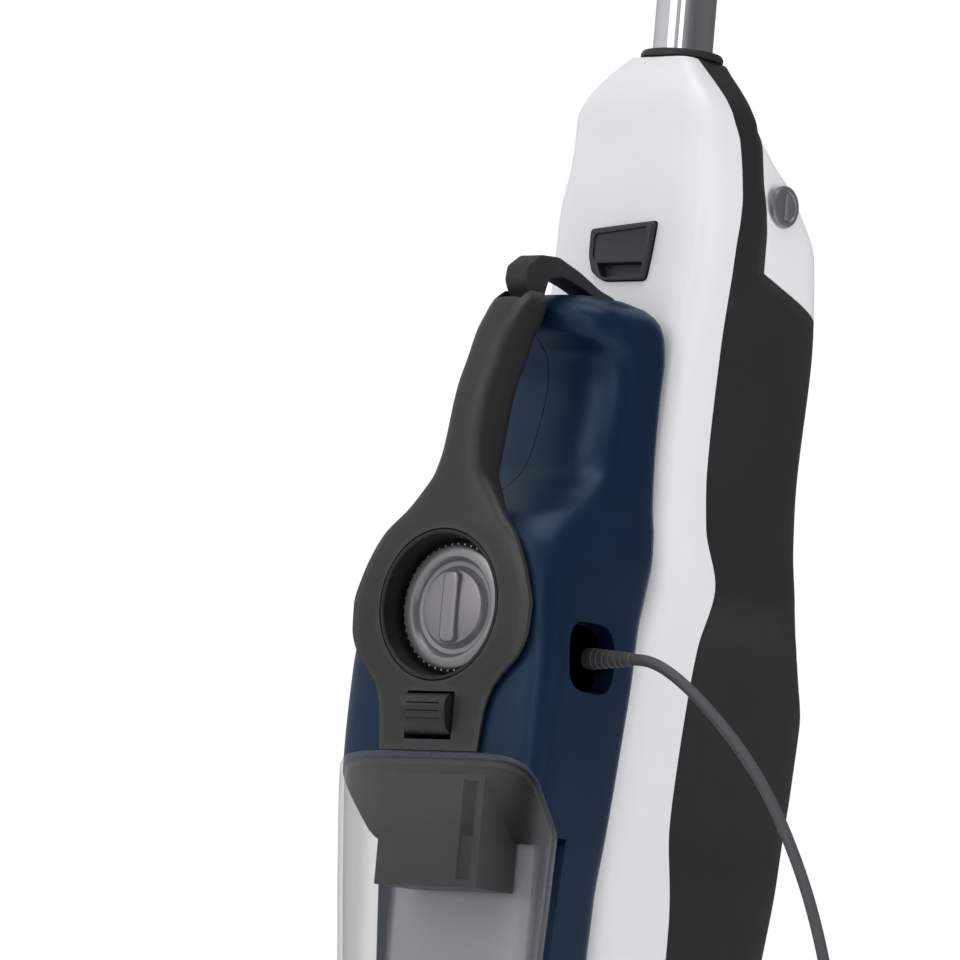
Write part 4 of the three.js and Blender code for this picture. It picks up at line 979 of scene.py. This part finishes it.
COVER = [
    (34, HEAD_X, HEAD_X, HEAD_FRONT, HEAD_REAR), (38, 145.8, 145.8, -149.8, 91.6), (42, 145, 145, -149, 90),
    (46, 142.4, 142.2, -146, 85), (50, 138, 138, -141, 76), (54, 130.5, 129, -131, 68.4),
    (57, 122, 118, -120, 62), (59, 109, 104, -106, 57), (60, 96, 90, -92, 52),
]
cover = loft("head_cover_fine", COVER, (7, 7), step=1.2, half=60)
under = [
    (33, HEAD_X, HEAD_X, HEAD_FRONT, HEAD_REAR), (42, 145, 145, -149, 90), (50, 138, 138, -141, 76),
    (57, 122, 118, -120, 62),
]
cut(cover, loft("under", under, (7, 7), step=4, half=60, inset=2.8),
    box("bay", (-27, 27), (-24, 120), (10, 80)), box("clear", (-44, 44), (9, 35), (20, 55)))
piece(soften(cover, 0.9, 3, 50), "head_cover")
tyre_profile = [
    (3.3, -8), (13, -8), (13.6, -7.2), (15.8, -7), (17, -5.6), (17, -3), (16.6, -2.6), (16.6, -1.8),
    (17, -1.4), (17, 1.4), (16.6, 1.8), (16.6, 2.6), (17, 3), (17, 5.6), (15.8, 7), (13.6, 7.2),
    (13, 8), (3.3, 8), (3.3, -8),
]
for name, x in (("wheel_left", -WHEEL_X), ("wheel_right", WHEEL_X)):
    piece(settle(lathe(name + "_fine", tyre_profile, (x, AXLE_Y, AXLE_Z), "x")), name)

# Mop pad: a quilted microfibre cushion, crowned at the sides, with sewn channels and a bound border.
PAD_X, PAD_Y0, PAD_Y1, PAD_HALF = 138, -118, 48, 4.5
CHANNEL_STEP, RINGS = 34.5, 34
pad_mid = (PAD_Y0 + PAD_Y1) / 2
rim_plan = np.array(rounded_plan(1, -1, 1, 0.3, 14))
rim_run = resampled(np.vstack([rim_plan, rim_plan[:1]]), 241)[:-1]
verts, faces = [], []
for side_of in (1, -1):
    for ring in np.linspace(1, 0.04, RINGS):
        for u, v in rim_run:
            x, y = u * ring * PAD_X, pad_mid + v * ring * (PAD_Y1 - PAD_Y0) / 2
            crown = math.sqrt(max(0.0, 1 - ring**12))
            channel = abs(math.sin(math.pi * (x + PAD_X) / CHANNEL_STEP)) ** 0.35 if ring < 0.9 else 1
            seam = 1 - 0.55 * math.exp(-(((ring - 0.915) * 60) ** 2))
            bulge = PAD_HALF * (0.35 + 0.65 * crown)
            if side_of > 0:
                pad_z = PAD_HALF + bulge * seam * (0.86 + 0.14 * channel)
            else:
                pad_z = PAD_HALF - bulge * (1 if ring < 0.97 else 0.96)
            verts.append((x, y, pad_z))
ring_n = len(rim_run)
for s in (0, 1):
    offset = s * ring_n * RINGS
    for k in range(RINGS - 1):
        for i in range(ring_n):
            a, b = offset + k * ring_n + i, offset + k * ring_n + (i + 1) % ring_n
            faces.append((a, b, b + ring_n, a + ring_n))
    faces.append(tuple(offset + (RINGS - 1) * ring_n + i for i in range(ring_n)))
for i in range(ring_n):
    j = (i + 1) % ring_n
    faces.append((i, j, ring_n * RINGS + j, ring_n * RINGS + i))
pad = piece(settle(new_object("mop_pad_fine", verts, faces), 80), "mop_pad")

# ---- stage and light -------------------------------------------------
def stage_look(name, rgb, glow=0.0):
    mat = bpy.data.materials.new(name)
    mat.use_nodes = True
    shader = mat.node_tree.nodes["Principled BSDF"]
    shader.inputs["Base Color"].default_value = (*rgb, 1)
    shader.inputs["Roughness"].default_value = 0.9
    shader.inputs["Emission Color"].default_value = (1, 1, 1, 1)
    shader.inputs["Emission Strength"].default_value = glow
    return mat


FLOOR_RADIUS, DOME_RADIUS = 9, 16
bpy.ops.mesh.primitive_circle_add(vertices=96, radius=FLOOR_RADIUS, fill_type="NGON",
                                  location=(0, 0, -0.0004))
floor = bpy.context.object
floor.name = "floor"
floor.data.materials.append(stage_look("floor", (0.92, 0.92, 0.92)))
bpy.ops.mesh.primitive_uv_sphere_add(segments=64, ring_count=32, radius=DOME_RADIUS, location=(0, 0, 0))
dome = bpy.context.object
dome.name = "backdrop"
dome.data.materials.append(stage_look("backdrop", (0, 0, 0), 1.0))
for ray in ("diffuse", "glossy", "shadow", "volume_scatter"):
    setattr(dome, "visible_" + ray, False)

world = bpy.data.worlds.new("studio")
scene.world = world
world.use_nodes = True
sky = world.node_tree.nodes
place = sky.new("ShaderNodeTexCoord")
turn = sky.new("ShaderNodeMapping")
turn.inputs["Rotation"].default_value = (0, 0, -AZIMUTH)
split = sky.new("ShaderNodeSeparateXYZ")
shade = sky.new("ShaderNodeValToRGB")
# The ramp runs from left to right of the camera; the two stops that it is made with are set first.
for stop, grey in ((0.0, 1.45), (1.0, 0.3), (0.3, 0.9), (0.5, 0.66), (0.64, 0.34), (0.8, 0.24)):
    element = shade.color_ramp.elements.new(stop) if 0 < stop < 1 else shade.color_ramp.elements[int(stop)]
    element.color = (grey, grey, grey, 1)
halve = sky.new("ShaderNodeMapRange")
halve.inputs["From Min"].default_value = -1
world_links = world.node_tree.links
world_links.new(place.outputs["Generated"], turn.inputs["Vector"])
world_links.new(turn.outputs["Vector"], split.inputs["Vector"])
world_links.new(split.outputs["X"], halve.inputs["Value"])
world_links.new(halve.outputs["Result"], shade.inputs["Fac"])
world_links.new(shade.outputs["Color"], sky["Background"].inputs["Color"])
sky["Background"].inputs["Strength"].default_value = 0.6


LIGHT_AIM = Vector((0, -0.05, 0.5))


def softbox(name, side_deg, height_deg, distance, width, tall, power):
    """An area light placed by its angle from the camera's direction, positive to the camera's right."""
    a = AZIMUTH + math.radians(side_deg)
    e = math.radians(height_deg)
    away = Vector((math.sin(a) * math.cos(e), -math.cos(a) * math.cos(e), math.sin(e)))
    lamp = bpy.data.lights.new(name, "AREA")
    lamp.shape = "RECTANGLE"
    lamp.size, lamp.size_y, lamp.energy = width, tall, power
    made = bpy.data.objects.new(name, lamp)
    scene.collection.objects.link(made)
    made.location = LIGHT_AIM + away * distance
    made.rotation_mode = "QUATERNION"
    made.rotation_quaternion = away.to_track_quat("Z", "Y")
    made.visible_camera = False
    return made


softbox("key", -52, 28, 2.4, 1.2, 2.0, 11)
softbox("fill", 62, 12, 2.6, 0.9, 1.8, 30).visible_glossy = False
softbox("front", -14, 12, 3.2, 0.8, 1.4, 7)
softbox("top", 0, 78, 2.2, 1.6, 1.6, 14)
